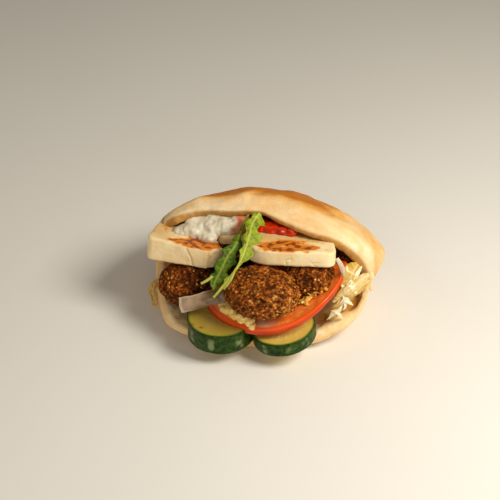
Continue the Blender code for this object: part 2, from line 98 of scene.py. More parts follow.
# %% A helper for finishes
class Finish:
    """The nodes of one finish. soft: share and depth in millimetres of the light that goes inside;
    spread: how far red, green and blue go there; coat: share and roughness of a wet film; shine: gloss."""

    def __init__(self, name, roughness, soft=(0, 1), spread=None, coat=(0, 0.03), shine=0.5):
        self.material = bpy.data.materials.new(name)
        self.material.use_nodes = True
        self.tree = self.material.node_tree
        self.shader = self.tree.nodes["Principled BSDF"]
        self.place = self.node("ShaderNodeTexCoord").outputs["Object"]
        self.put(self.shader, {"Roughness": roughness, "Specular IOR Level": shine,
                               "Subsurface Weight": soft[0], "Subsurface Scale": soft[1] * MM,
                               "Coat Weight": coat[0], "Coat Roughness": coat[1]})
        if spread:
            self.put(self.shader, {"Subsurface Radius": spread})

    def put(self, node, values):
        for socket, value in values.items():
            if isinstance(value, bpy.types.NodeSocket):
                self.tree.links.new(value, node.inputs[socket])
            else:
                node.inputs[socket].default_value = value
        return node

    def node(self, kind, values=(), **settings):
        made = self.tree.nodes.new(kind)
        for key, value in settings.items():
            setattr(made, key, value)
        return self.put(made, dict(values))

    def cloud(self, size, detail=3.0, rough=0.55, stretch=(1, 1, 1)):
        """Soft noise with patches of that many millimetres, about 0.5 on average."""
        place = self.node("ShaderNodeMapping", {"Vector": self.place, "Scale": stretch}).outputs[0]
        values = {"Vector": place, "Scale": 1 / (size * MM), "Detail": detail, "Roughness": rough}
        return self.node("ShaderNodeTexNoise", values).outputs[0]

    def cells(self, size):
        """Distance from the middles of cells of that many millimetres."""
        values = {"Vector": self.place, "Scale": 1 / (size * MM)}
        return self.node("ShaderNodeTexVoronoi", values).outputs["Distance"]

    def painted(self, name):
        return self.node("ShaderNodeAttribute", attribute_name=name).outputs["Fac"]

    def step(self, value, low, high, start=0.0, end=1.0):
        """A smooth step: start below low, end above high."""
        values = {"Value": value, "From Min": low, "From Max": high, "To Min": start, "To Max": end}
        return self.node("ShaderNodeMapRange", values, interpolation_type="SMOOTHSTEP").outputs[0]

    def sum(self, a, b, operation="ADD"):
        return self.node("ShaderNodeMath", {0: a, 1: b}, operation=operation).outputs[0]

    def times(self, a, b):
        return self.sum(a, b, "MULTIPLY")

    def mix(self, share, a, b, blend="MIX"):
        """Colour a where share is 0 and colour b where it is 1."""
        a, b = [(*c, 1.0) if isinstance(c, tuple) else c for c in (a, b)]
        node = self.node("ShaderNodeMix", data_type="RGBA", blend_type=blend)
        self.put(node, {0: share, 6: a, 7: b})
        return node.outputs[2]

    def patches(self, a, b, size, low, high, detail=4):
        """Colour a with soft patches of colour b, of that many millimetres."""
        return self.mix(self.step(self.cloud(size, detail), low, high), a, b)

    def darkened(self, tone, shade):
        """The colour times a grey value."""
        grey = self.node("ShaderNodeCombineColor", {0: shade, 1: shade, 2: shade}).outputs[0]
        return self.mix(1.0, tone, grey, "MULTIPLY")

    def colour(self, value):
        return self.put(self.shader, {"Base Color": (*value, 1.0) if isinstance(value, tuple) else value})

    def bump(self, height, depth, strength):
        """Relief too fine for the mesh; depth is in millimetres."""
        values = {"Height": height, "Distance": depth * MM, "Strength": strength}
        node = self.node("ShaderNodeBump", values)
        self.put(self.shader, {"Normal": node.outputs[0]})


print("finishes are built from Blender's own", bpy.app.version_string, "nodes")

# %% [markdown]
# ## Pieces
# Every food becomes one mesh object. `make_piece` takes its points in drawing millimetres, its faces
# and the values painted on its points, and says which solid it stands for. `relief` then pushes the
# points along their normals, which is how crust, grain and wrinkles become real shape.

# %% Helpers for pieces
def make_piece(name, points, faces, finish, stands_for=(), painted=None):
    """A finished object of the food, in place on the body it rides on."""
    mesh = bpy.data.meshes.new(name)
    mesh.from_pydata(to_frame(points).tolist(), [], [tuple(f) for f in faces])
    shell = bmesh.new()
    shell.from_mesh(mesh)
    bmesh.ops.recalc_face_normals(shell, faces=shell.faces)
    shell.to_mesh(mesh)
    shell.free()
    return own_piece(name, mesh, finish, stands_for, painted)


def own_piece(name, mesh, finish, stands_for=(), painted=None):
    """The same from a mesh that is already in the frame."""
    mesh.polygons.foreach_set("use_smooth", [True] * len(mesh.polygons))
    for key, row in (painted or {}).items():
        mesh.attributes.new(key, "FLOAT", "POINT").data.foreach_set("value", np.asarray(row, np.float32))
    mesh.materials.clear()
    mesh.materials.append(finish.material)
    mesh.update()
    piece = bpy.data.objects.new(name, mesh)
    bpy.context.scene.collection.objects.link(piece)
    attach(piece, "root")
    if stands_for:
        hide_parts(*stands_for)
    mesh.calc_loop_triangles()
    print(f"{name}: {len(mesh.loop_triangles)} triangles")
    return piece


def points_of(mesh):
    """A mesh's points in drawing millimetres and its unit normals."""
    flat = np.zeros(len(mesh.vertices) * 3)
    mesh.vertices.foreach_get("co", flat)
    normals = np.zeros(len(mesh.vertices) * 3)
    mesh.vertex_normals.foreach_get("vector", normals)
    return flat.reshape(-1, 3) / MM - np.array(SHIFT), normals.reshape(-1, 3)


def move_points(mesh, points):
    mesh.vertices.foreach_set("co", to_frame(points).ravel())
    mesh.update()


def relief(mesh, heights):
    """Pushes each point out along its normal by its height in millimetres."""
    points, normals = points_of(mesh)
    move_points(mesh, points + normals * np.asarray(heights)[:, None])


def bumps(points, size, offset):
    """Smooth noise from about -1 to 1, in bumps of that many millimetres."""
    return np.array([noise.noise((p[0] / size + offset, p[1] / size, p[2] / size)) for p in points])


def rough(points, *layers):
    """Bumps of several sizes together, each layer as its height, size and offset."""
    return sum(height * bumps(points, size, offset) for height, size, offset in layers)


def grains(points, size, offset):
    """For each point, how far it is from the middle of its grain, and a number that the grain owns."""
    far = np.zeros(len(points))
    own = np.zeros(len(points))
    for k, p in enumerate(points):
        distances, middles = noise.voronoi((p[0] / size + offset, p[1] / size, p[2] / size))
        far[k] = distances[0]
        m = middles[0]
        own[k] = math.sin(m[0] * 12.9898 + m[1] * 78.233 + m[2] * 37.719) * 43758.5453 % 1.0
    return far, own


def smooth_step(t):
    t = np.clip(t, 0.0, 1.0)
    return t * t * (3 - 2 * t)


def near(points, spot, size):
    """1 at a spot of the drawing, falling softly to 0 about that size away; size may differ per axis."""
    away = (points - np.array(spot)) / np.array(size, float)
    return np.exp(-(away ** 2).sum(axis=1))


def spline(points, samples):
    """Catmull-Rom curve through the points, with that many samples in each span."""
    points = [Vector(p) for p in points]
    padded = [2 * points[0] - points[1], *points, 2 * points[-1] - points[-2]]
    out = []
    for k in range(len(points) - 1):
        a, b, c, d = padded[k:k + 4]
        for n in range(samples):
            t = n / samples
            out.append(0.5 * (2 * b + (c - a) * t + (2 * a - 5 * b + 4 * c - d) * t * t
                              + (3 * b - a - 3 * c + d) * t ** 3))
    out.append(points[-1].copy())
    return out


def skin_over(rings):
    """Quads between closed rings of equally many corners, given as numbers of points."""
    count = len(rings[0])
    return [(a[k], a[(k + 1) % count], b[(k + 1) % count], b[k])
            for a, b in zip(rings, rings[1:]) for k in range(count)]


print("helpers are ready")

# %% [markdown]
# ## The bread's shape
# A pita puffs up in a hot oven and leaves a pocket between two soft layers. Cut in half, it is a shell
# that is open at the front and closed along the back. It could be sculpted, or inflated like a
# cushion, but a loft is the surest way: one closed section at each station from the right corner of
# the mouth over the middle to the left corner, from the same rows of numbers as the solid.

# %% The bread's section
THICKNESS = 5.5
CORNER_X, CORNER_Z = 66, 33
UPPER_PROFILE = ((2, 68, 67), (13, 72, 72.5), (29, 67, 76.5), (48, 52, 80), (58, 36, 79.5))
LOWER_PROFILE = ((54, 14, 69), (38, 1, 64.5), (12, -1, 63.5), (-20, -1, 63.5), (-33, -0.5, 65), (-40, 1, 66))
ROWS = len(UPPER_PROFILE) + len(LOWER_PROFILE)
UPPER_ADVANCE, LOWER_ADVANCE = 8, 12
STATIONS = 240
SAMPLES = 13
LIP_STEPS = 11


def advance(s, upper_weight, lower_weight):
    """How far a row comes forward: the upper lip right of the middle, the lower lip left of it."""
    if math.cos(s) > 0:
        return -UPPER_ADVANCE * upper_weight * math.sin(s) ** 2 * math.cos(s) / 0.385
    return -LOWER_ADVANCE * lower_weight * math.sin(2 * s) ** 2


def bread_x(s, half_width, row):
    reach = CORNER_X + (half_width - CORNER_X) * min(1.0, 2.2 * math.sin(s))
    side = math.cos(s)
    return reach * side * (1 if side > 0 else 0.92 + 0.07 * row / (ROWS - 1))


def outer_line(s):
    """The outer line at station angle s, from the upper lip over the back to the lower lip."""
    swell = math.sin(s)
    side = math.cos(s)
    fall_y, fall_z = (1.0, 1.1) if side > 0 else (1.25, 1.7)
    fullness = 0.75 if side > 0 else 0.42
    corner_z = CORNER_Z - 5 * float(smooth_step(side))
    points = []
    for k, (y, z, half_width) in enumerate(UPPER_PROFILE):
        weight = max(0.0, 1 - 0.4 * k)
        power_z = 1 - weight ** 2 * (1 - fullness) * float(smooth_step(abs(side) / 0.5))
        lift = weight * (2.2 * math.exp(-(side / 0.45) ** 2) + 4 * math.exp(-((side - 0.75) / 0.22) ** 2))
        power_y = 1
        if k > 1:
            power_y = fall_y
            power_z *= fall_z
        points.append((bread_x(s, half_width, k), y * swell ** power_y + advance(s, weight, 0.0),
                       corner_z + (z - corner_z) * swell ** power_z + lift))
    for k, (y, z, half_width) in enumerate(LOWER_PROFILE):
        weight = max(0.0, 0.5 * (k - 3))
        power_y = fall_y if k == 0 else 1
        points.append((bread_x(s, half_width, 5 + k), y * swell ** power_y + advance(s, 0.0, weight),
                       corner_z + (z - corner_z) * swell ** 0.65))
    return spline(points, SAMPLES)


def inner_line(outer, s):
    """The outer line moved inwards by the bread's thickness."""
    depth = min(THICKNESS, 0.4 * CORNER_Z * math.sin(s))
    out = []
    for j, p in enumerate(outer):
        a, b = outer[max(j - 1, 0)], outer[min(j + 1, len(outer) - 1)]
        along = Vector((0, b.y - a.y, b.z - a.z)).normalized()
        squeezed = p.x * (1 - THICKNESS / (CORNER_X + 6))
        out.append(Vector((squeezed, p.y, p.z)) + Vector((0, along.z, -along.y)) * depth)
    return out


def lip(outer_end, inner_end, along):
    """The rounded edge between the two lines."""
    middle = (outer_end + inner_end) / 2
    reach = (outer_end - inner_end).length * 0.4
    angles = [math.pi * k / (LIP_STEPS + 1) for k in range(1, LIP_STEPS + 1)]
    return [middle + (outer_end - middle) * math.cos(a) + along * reach * math.sin(a) for a in angles]


first = math.radians(3.0)
bread_points = []
baked, crumb = [], []
for n in range(STATIONS):
    s = first + (math.pi - 2 * first) * n / (STATIONS - 1)
    outer = outer_line(s)
    inner = inner_line(outer, s)
    low = lip(outer[-1], inner[-1], (outer[-1] - outer[-2]).normalized())
    high = lip(inner[0], outer[0], (outer[0] - outer[1]).normalized())
    bread_points += [*outer, *low, *reversed(inner), *high]
    rows_out = [j / SAMPLES for j in range(len(outer))]
    baked += [*rows_out, *[ROWS - 1.0] * LIP_STEPS, *reversed(rows_out), *[0.0] * LIP_STEPS]
    ramp = [(k + 1) / (LIP_STEPS + 1) for k in range(LIP_STEPS)]
    crumb += [*[0.0] * len(outer), *ramp, *[1.0] * len(outer), *reversed(ramp)]
bread_points = np.array([tuple(p) for p in bread_points])
loop = len(bread_points) // STATIONS
outer_count = (loop - 2 * LIP_STEPS) // 2
rings = [range(n * loop, (n + 1) * loop) for n in range(STATIONS)]
bread_faces = skin_over(rings)
print(STATIONS, "stations of", loop, "points")

# %% [markdown]
# The two ends of the mouth are where the layers meet. Each is closed by a small cap. After that the
# whole shell gets the slow unevenness of baked dough, the same as in the solid, so it never rests
# truly flat. The right end is smoothed once more, and the base is pressed level on what it lies on.

# %% The ends and the unevenness
for ring in (rings[0], rings[-1]):
    outer_ring = ring[:outer_count]
    inner_ring = ring[outer_count + LIP_STEPS:2 * outer_count + LIP_STEPS]
    half = outer_count // 2
    for part in (outer_ring, inner_ring):
        bread_faces += [(part[j], part[j + 1], part[-2 - j], part[-1 - j]) for j in range(half)]
    wall = [outer_ring[-1], *ring[outer_count:outer_count + LIP_STEPS], inner_ring[0]]
    facing = [outer_ring[0], *reversed(ring[2 * outer_count + LIP_STEPS:]), inner_ring[-1]]
    bread_faces += [(wall[k], wall[k + 1], facing[k + 1], facing[k]) for k in range(len(wall) - 1)]


def uneven(points, amount, size):
    """Points moved sideways by smooth noise, as baked food is never true."""
    shifts = [bumps(points, size, offset) for offset in (31.7, 57.3, 83.9)]
    return points + 2 * amount * np.stack(shifts, axis=1)


bread_points = uneven(bread_points, 1.0, 22)
SOFTENING_ROUNDS, SOFT_FROM, SOFT_WITHIN = 110, 48, 12
grid = bread_points.reshape(STATIONS, loop, 3)
softened = grid.copy()
for _ in range(SOFTENING_ROUNDS):
    softened[1:-1] = 0.5 * softened[1:-1] + 0.25 * (softened[:-2] + softened[2:])
share = smooth_step((grid[..., 0] - SOFT_FROM) / SOFT_WITHIN)[..., None]
bread_points = (grid + (softened - grid) * share).reshape(-1, 3)
bread_points[:, 2] = np.maximum(bread_points[:, 2], 0.0)
print("bread spans", np.ptp(bread_points, axis=0).round(1), "mm")

# %% [markdown]
# ## The bread's surface
# Three things make dough look baked. The skin has long soft ripples where it stretched, small
# blisters where steam lifted it, and a fine pebbled grain. The torn inside is open crumb with hollows.
# All of it is real relief on the mesh. Where the skin faced the oven it is golden, and near the cut
# it stays pale, so each point also gets a value for how baked it is.

# %% Ripples, blisters, grain and hollows
baked, crumb = np.array(baked), np.array(crumb)
RIPPLES = (  # two ends, width and height of a soft fold in the skin
    ((-32, 12, 73), (-14, 30, 74), 3.5, 0.9), ((-25, 4, 71), (-2, 24, 77), 3.0, 0.8),
    ((-10, 10, 72), (6, 34, 74), 3.2, -0.7), ((-44, 8, 66), (-30, 26, 68), 4.0, 0.8),
    ((18, 2, 74), (30, 30, 72), 5.0, 0.6), ((38, -4, 66), (56, 18, 62), 5.0, 0.6),
    ((30, 36, 66), (52, 26, 62), 3.0, -0.6), ((0, -6, 71), (30, -10, 66), 4.0, 0.5),
    ((-52, 2, 55), (-60, 22, 50), 4.0, -0.7), ((-20, 2, 73), (-2, 6, 75), 1.8, 0.7),
    ((-8, 22, 76), (14, 34, 76), 2.6, 0.9), ((56, -14, 46), (66, 4, 42), 4.0, -0.6),
    ((10, 46, 60), (40, 42, 58), 5.0, 0.9), ((-40, 44, 54), (-8, 50, 58), 5.0, -0.9))
BLISTERS = (  # place, size and height
    ((50.5, -9, 55), 2.6, 0.7), ((60, 6, 50), 2.2, 0.5), ((26, 22, 74), 3.5, 0.6), ((42, 10, 66), 2.5, 0.4),
    ((-20, 40, 66), 4.0, 0.8), ((5, 52, 52), 5.0, 0.9), ((43, 27, 60), 8.0, 2.2), ((-58, 30, 40), 4.0, 0.7),
    ((62, 36, 34), 4.5, 0.8), ((33, -3, 69), 1.8, 0.35))
HOLLOWS = (  # place, size and depth in the inner wall
    ((57.5, -9, 19), (5, 8, 7), 3.2), ((51, -13, 14), (6, 5, 4), 2.4), ((43, -17, 10), (5.5, 5, 3.5), 2.2))


def fold(points, start, end, width, height):
    """A soft ridge, or a furrow if height is below 0, from one point to another."""
    start, end = np.array(start, float), np.array(end, float)
    run = end - start
    t = np.clip((points - start) @ run / (run @ run), 0, 1)
    away = np.linalg.norm(points - (start + t[:, None] * run), axis=1)
    return height * np.exp(-(away / width) ** 2)


skin = 1 - crumb
height = rough(bread_points, (0.55, 9, 4.0), (0.16, 3.2, 9.0), (0.07, 1.3, 2.0))
for start, end, width, tall in RIPPLES:
    height += skin * fold(bread_points, start, end, width, tall)
for place, size, tall in BLISTERS:
    height += skin * tall * near(bread_points, place, (size,) * 3)
# The pits of the hollows and the left inner wall are painted a darker golden brown, as painted shade.
hollow_shade = np.zeros(len(bread_points))
for place, size, deep in HOLLOWS:
    pit = near(bread_points, place, size) * crumb
    height -= deep * pit
    hollow_shade = np.maximum(hollow_shade, pit)
hollow_shade = np.maximum(hollow_shade, 0.32 * crumb * smooth_step((-50 - bread_points[:, 0]) / 8))
height += crumb * rough(bread_points, (0.5, 4.5, 7.0), (0.25, 1.8, 5.0))
height -= 2.6 * skin * near(bread_points, (72, 12, 26), (14, 18, 8))
height += 4.5 * crumb * near(bread_points, (52, -18, 12), (17, 12, 10))
to_bottom = smooth_step((6 - bread_points[:, 2]) / 6)
height = np.minimum(height, height * (1 - to_bottom))
height *= smooth_step((76 - bread_points[:, 2]) / 4) * 0.9 + 0.1
print("the surface moves from", height.min().round(1), "to", height.max().round(1), "mm")

# %% [markdown]
# ## The bread's finish
# Flour, steam and dry heat give three tones: cream where the dough stayed soft, gold where it dried
# and toasted, and a few brown freckles on the highest spots. They are mixed by the painted value and
# by clouds of two sizes, so no tone ends in a line. The dough lets a little light in, which softens it.

# %% Finish of the bread
bread = Finish("baked dough", 0.52, soft=(0.12, 4), spread=(1.0, 0.55, 0.25), shine=0.12)
wandering = bread.times(bread.sum(bread.cloud(12, 4, 0.6, (0.7, 1, 1)), -0.5), 1.5)
toast = bread.sum(bread.painted("baked"), wandering)
tone = bread.mix(bread.step(toast, -0.1, 0.75), (0.88, 0.62, 0.33), (0.80, 0.44, 0.12))
tone = bread.mix(bread.step(toast, 0.5, 1.15), tone, (0.54, 0.175, 0.016))
tone = bread.mix(bread.step(toast, 0.05, -0.45), tone, (0.93, 0.76, 0.52))
freckles = bread.times(bread.step(bread.cloud(2.6, 4, 0.6), 0.55, 0.74), bread.step(toast, 0.25, 0.9))
tone = bread.mix(bread.times(freckles, 0.4), tone, (0.48, 0.18, 0.03))
flour = bread.times(bread.step(bread.cloud(6, 4, 0.7), 0.55, 0.7), bread.step(toast, 0.5, 0.1))
tone = bread.mix(bread.times(flour, 0.35), tone, (0.92, 0.74, 0.48))
inside = bread.patches((0.87, 0.60, 0.28), (0.94, 0.76, 0.47), 5, 0.4, 0.65, 3)
# painted shade in the hollows and on the left inner wall
inside = bread.mix(bread.painted("hollow_shade"), inside, (0.58, 0.25, 0.03))
inside = bread.mix(bread.times(bread.painted("under"), bread.step(bread.cloud(3, 3), 0.2, 0.6, 0.7, 1)),
                   inside, (0.50, 0.25, 0.055))
within = bread.sum(bread.step(bread.painted("crumb"), 0.35, 0.8), bread.painted("under"), "MAXIMUM")
tone = bread.mix(within, tone, inside)
speckle = bread.step(bread.cloud(0.8, 2, 0.5), 0.3, 0.7, 0.93, 1.05)
bread.colour(bread.darkened(tone, speckle))
bread.bump(bread.sum(bread.cloud(0.55, 3, 0.6), bread.times(bread.cells(1.1), 0.4)), 0.12, 0.6)

# %% [markdown]
# The baked value is highest on the crown and falls towards the lip, the right end and the base. The
# piece stands in the place of its solid, and the relief worked out above is pressed into its mesh.

# %% The bread
across = bread_points[:, 0] * 0.97 + bread_points[:, 1] * 0.24
crown = smooth_step((baked - 0.62) / 1.05) * smooth_step((9.4 - baked) / 1.0)
bake = 0.22 + 0.78 * crown - 0.22 * smooth_step((1.4 - baked) / 1.2)
bake -= 0.30 * smooth_step((across - 28) / 28) * smooth_step((1.9 - baked) / 0.9)
bake -= 0.22 * smooth_step((-across - 2) / 30) * smooth_step((0.9 - baked) / 0.8)
bake += 0.30 * near(bread_points, (-4, 22, 74), (22, 12, 8))
bake += 0.25 * near(bread_points, (30, 30, 70), (22, 12, 9))
bake += 0.25 * near(bread_points, (-34, 16, 66), (10, 8, 8))
bake *= 1 - 0.7 * smooth_step((across - 32) / 26)
bake += 0.22 * crown * np.exp(-(across / 34) ** 2)
bake -= 0.6 * smooth_step((9.0 - bread_points[:, 2]) / 6) * smooth_step((across + 10) / 30)
bake += 0.45 * near(bread_points, (59.5, -3, 55), (2.4, 3, 3.6))
bake += 0.18 * bumps(bread_points * (0.35, 1, 1), 3.5, 14.0)
under = smooth_step((crumb - 0.10) / 0.28) * smooth_step((2.5 - baked) / 1.0)
pita = make_piece("pita_bread", bread_points, bread_faces, bread, ["pita"],
                  {"baked": np.clip(bake, -0.6, 1.2), "crumb": crumb, "under": under,
                   "hollow_shade": np.clip(hollow_shade * 1.4, 0, 1)})
relief(pita.data, height)

# %% [markdown]
# ## Falafels
# A falafel is ground chickpeas and herbs, shaped by hand and fried until the outside is a rough dark
# crust. The roughness has three sizes: crags as wide as a pea, clods of under three millimetres, and
# single grains. Displacement in a shader wouldn't leave the render, so each ball is a dense sphere whose
# points are pushed in. Every grain owns a random number, which later gives it a colour of its own.

# %% The shape of a falafel
FALAFELS = {  # middle, radii, turn in degrees, noise seed
    "falafel_middle": ((9.2, -39.5, 41.7), (24, 20, 14.5), -6, 1),
    "falafel_left": ((-38, -23, 27), (20.5, 19, 14.8), 10, 2),
    "falafel_right": ((31, -15.5, 42), (17, 19, 13), 20, 3),
    "falafel_back": ((50, 8, 42), (14, 14, 10), 0, 4),
    "falafel_inner": ((-17, -8, 39.5), (15, 15, 11), 0, 5),
}
FRYING_AND_SHADING = {  # spots of each ball, their sizes, and how golden (above 0) or dark (below 0) they are painted: frying colour, with painted shade on the left, inner and back balls and under the cheese, and painted light on the middle ball's lit lower right
    "falafel_middle": (((26, -52, 40), (9, 9, 8), 0.35), ((6, -50, 50), (10, 8, 6), 0.15),
                       ((4, -56, 30), (14, 10, 6), -0.22), ((-10, -44, 45), (6, 8, 8), -0.1)),
    "falafel_left": (((-24, -32, 34), (8, 10, 10), -0.5), ((-38, -32, 26), (40, 40, 40), -0.20),
                     ((-52, -34, 30), (8, 8, 8), 0.18)),
    "falafel_right": (((34, -30, 50), (9, 8, 6), -0.12), ((20, -30, 38), (8, 8, 8), 0.3)),
    "falafel_inner": (((-17, -20, 45), (30, 30, 30), -0.6),),
    "falafel_back": (((46, -4, 46), (30, 30, 30), -0.35),),
}
CRAG, CLOD, GRAIN, FINE = 5, 2.7, 1.25, 0.75  # millimetres


def sphere_mesh(name, middle, radii, turn, detail):
    """A ball with evenly spread points, in place."""
    bm = bmesh.new()
    bmesh.ops.create_icosphere(bm, subdivisions=detail, radius=1.0)
    bm.transform(Matrix.Rotation(math.radians(turn), 4, "Z") @ Matrix.Diagonal((*radii, 1)))
    mesh = bpy.data.meshes.new(name)
    bm.to_mesh(mesh)
    bm.free()
    move_points(mesh, np.array([tuple(v.co) for v in mesh.vertices]) + np.array(middle))
    return mesh


def falafel_shape(name, middle, radii, turn, seed, detail):
    """The dense ball, its crags, clods and grains, and the values painted on it."""
    mesh = sphere_mesh(name, middle, radii, turn, detail)
    points, _ = points_of(mesh)
    heart = np.array(middle)
    shifted = to_frame(points) / MM - np.array(SHIFT)
    crag = 0.5 + 0.5 * bumps(shifted, CRAG, seed * 11.0) + 0.35 * bumps(shifted * 0.4, CRAG, seed * 11.0)
    clod_far, clod_own = grains(points, CLOD, seed * 3.0)
    grain_far, grain_own = grains(points + 0.3 * clod_own[:, None], GRAIN, seed * 5.0)
    fine_far, _ = grains(points, FINE, seed * 7.0)
    sink = 1.5 * np.clip(crag, 0, 1) + 0.9 * clod_far ** 1.5 + 1.1 * grain_far ** 1.3 + 0.35 * fine_far
    sink += 0.5 * (clod_own < 0.14) + 0.3 * (grain_own < 0.12)
    inward = heart - points
    inward /= np.linalg.norm(inward, axis=1)[:, None]
    move_points(mesh, points + inward * sink[:, None])
    sink = 0.75 * clod_far + 0.9 * grain_far + 0.35 * fine_far + 0.35 * np.clip(crag, 0, 1)
    low, high = np.percentile(sink, (4, 96))
    # frying colour together with painted shade and painted light, spot by spot
    fried_and_shading = np.zeros(len(points))
    for spot, size, strength in FRYING_AND_SHADING[name]:
        fried_and_shading += strength * near(points, spot, size)
    return mesh, {"grain": grain_own, "sunk": (sink - low) / (high - low), "clod": clod_own, "fried_and_shading": fried_and_shading}


# %% [markdown]
# ## The crust's finish
# Frying browns the high grains most, but the herbs and chickpea skins stay lighter, so neighbours
# differ. Each grain picks its tone on a ramp from nearly black over chestnut and orange brown to the
# pale yellow of a bit of chickpea; a few are dark green herbs. Sunken places are painted darker, as
# painted shade and for the oil they hold, and the highest grains a little lighter, as painted light.

# %% Finish of the falafels
def fried_crust(name, warmth):
    """Warmth shifts the whole ball from dark chestnut to golden brown."""
    crust = Finish(name, 0.6, shine=0.06)
    grain = crust.painted("grain")
    own = crust.sum(grain, crust.times(crust.sum(crust.cloud(5, 4), -0.5), 0.3))
    # The spots add their frying colour, painted shade and painted light to each grain's tone.
    own = crust.sum(own, crust.painted("fried_and_shading"))
    tone = crust.mix(crust.step(own, -0.35, 0.05), (0.010, 0.003, 0.001), (0.075, 0.018, 0.002))
    tone = crust.mix(crust.step(own, 0.02, 0.42), tone, (0.18, 0.040, 0.005))
    tone = crust.mix(crust.step(own, 0.42, 0.80 - warmth), tone, (0.34, 0.095, 0.011))
    tone = crust.mix(crust.step(own, 0.86 - warmth, 1.05), tone, (0.58, 0.24, 0.040))
    tone = crust.mix(crust.step(grain, 0.94, 0.95), tone, (0.70, 0.38, 0.10))
    herb = crust.times(crust.step(grain, 0.10, 0.11), crust.step(grain, 0.16, 0.15))
    tone = crust.mix(crust.times(herb, 0.8), tone, (0.030, 0.045, 0.012))
    # painted shade in the sunken places and painted light on the highest grains
    shade = crust.step(crust.painted("sunk"), 0.0, 1.0, 1.35, 0.34)
    fine = crust.times(shade, crust.step(crust.cloud(0.5, 2), 0.3, 0.7, 0.92, 1.08))
    crust.colour(crust.darkened(tone, fine))
    crust.bump(crust.sum(crust.cloud(0.45, 3, 0.65), crust.cells(0.6)), 0.18, 0.7)
    return crust


golden_crust = fried_crust("golden fried crust", 0.16)
dark_crust = fried_crust("dark fried crust", 0.05)

# %% [markdown]
# Five balls come from one function, each with its own turn and seed. The two that mostly hide behind the
# others get fewer faces.

# %% The falafels
for name, (middle, radii, turn, seed) in FALAFELS.items():
    hidden = name in ("falafel_inner", "falafel_back")
    mesh, painted = falafel_shape(name, middle, radii, turn, seed, 5 if hidden else 6)
    own_piece(name + "_crust", mesh, golden_crust if name == "falafel_middle" else dark_crust,
              [name], painted)

# %% [markdown]
# ## A slab of grilled cheese
# Grilled halloumi is dense and squeaky: it keeps its cut edges, cracks where it bends, and browns in
# patches on the face that lay in the pan. A box with rounded corners is lofted first; then a voxel
# remesh turns it into even small faces, so that cracks and a torn end can be pushed into it wherever
# they are needed.

# %% Helpers for slabs and heaps
def voxel_mesh(name, points, faces, voxel, smoothing):
    """Melts overlapping closed shapes into one skin of small even faces."""
    source = bpy.data.meshes.new(name)
    source.from_pydata(to_frame(points).tolist(), [], [tuple(f) for f in faces])
    helper = bpy.data.objects.new(name, source)
    bpy.context.scene.collection.objects.link(helper)
    melt = helper.modifiers.new("melt", "REMESH")
    melt.mode = "VOXEL"
    melt.voxel_size = voxel * MM
    soften = helper.modifiers.new("soften", "SMOOTH")
    soften.iterations = smoothing
    mesh = bpy.data.meshes.new_from_object(helper.evaluated_get(bpy.context.evaluated_depsgraph_get()))
    bpy.data.objects.remove(helper)
    return mesh


def slab_place(edge, back, right, turn):
    """The matrix that stands a slab on the middle of its front bottom edge, in drawing millimetres."""
    lean = Matrix.Rotation(math.radians(-back), 4, "X") @ Matrix.Rotation(math.radians(right), 4, "Y")
    return Matrix.Translation(Vector(edge)) @ Matrix.Rotation(math.radians(turn), 4, "Z") @ lean


def slab(name, place, width, behind, depth, height, corner, drop=0.0):
    """The cut cheese as a fine mesh, and its points seen flat: x across, y back from the edge, z up."""
    outline = []
    for side, end, start in ((1, -1, -90), (1, 1, 0), (-1, 1, 90), (-1, -1, 180)):
        r = corner if end < 0 and side < 0 else min(corner, 6)
        for k in range(16):
            angle = math.radians(start + 6 * k)
            outline.append((side * (width / 2 - r) + r * math.cos(angle),
                            depth / 2 + end * (depth / 2 - r) + r * math.sin(angle)))
    levels = ((1.2, 0), (0.36, 0.36), (0, 1.2), (0, height - 1.2), (0.36, height - 0.36), (1.2, height))
    points = []
    for inset, z in levels:
        for x, y in outline:
            taper = 1 + (behind / width - 1) * y / depth
            shrunk_x = x * (1 - inset / (width / 2)) * taper + (taper - 1) * width / 2
            level = z * (1 - drop * (x / width + 0.5))
            shrunk_y = depth / 2 + (y - depth / 2) * (1 - inset / (depth / 2))
            points.append(place @ Vector((shrunk_x, shrunk_y, level)))
    count = len(outline)
    rings = [range(k * count, (k + 1) * count) for k in range(len(levels))]
    faces = skin_over(rings) + [tuple(reversed(rings[0])), tuple(rings[-1])]
    mesh = voxel_mesh(name, np.array([tuple(p) for p in points]), faces, 0.5, 2)
    return mesh, flat_points(mesh, place)


def flat_points(mesh, place):
    """The mesh's points in the slab's own directions."""
    points, _ = points_of(mesh)
    undo = np.array(place.inverted())
    return points @ undo[:3, :3].T + undo[:3, 3]


def crack(points, line, width, depth):
    """A dent along a jagged line of points."""
    dent = np.zeros(len(points))
    for a, b in zip(line, line[1:]):
        dent = np.maximum(dent, fold(points, a, b, width, depth))
    return dent


# %% [markdown]
# ## The cheese's finish
# The body is ivory with a little light inside. The pan's marks are a value painted on the top: strong
# in the middle of a patch, ragged at its rim, and broken into flecks by noise. The browning runs from
# straw over orange to nearly burnt brown, the way milk sugar does.

# %% Finish of the grilled cheese
cheese = Finish("grilled cheese", 0.42, soft=(0.2, 3), spread=(1.0, 0.7, 0.4))
seared = cheese.painted("seared")
body = cheese.patches((0.93, 0.77, 0.47), (0.86, 0.64, 0.33), 9, 0.35, 0.7, 3)
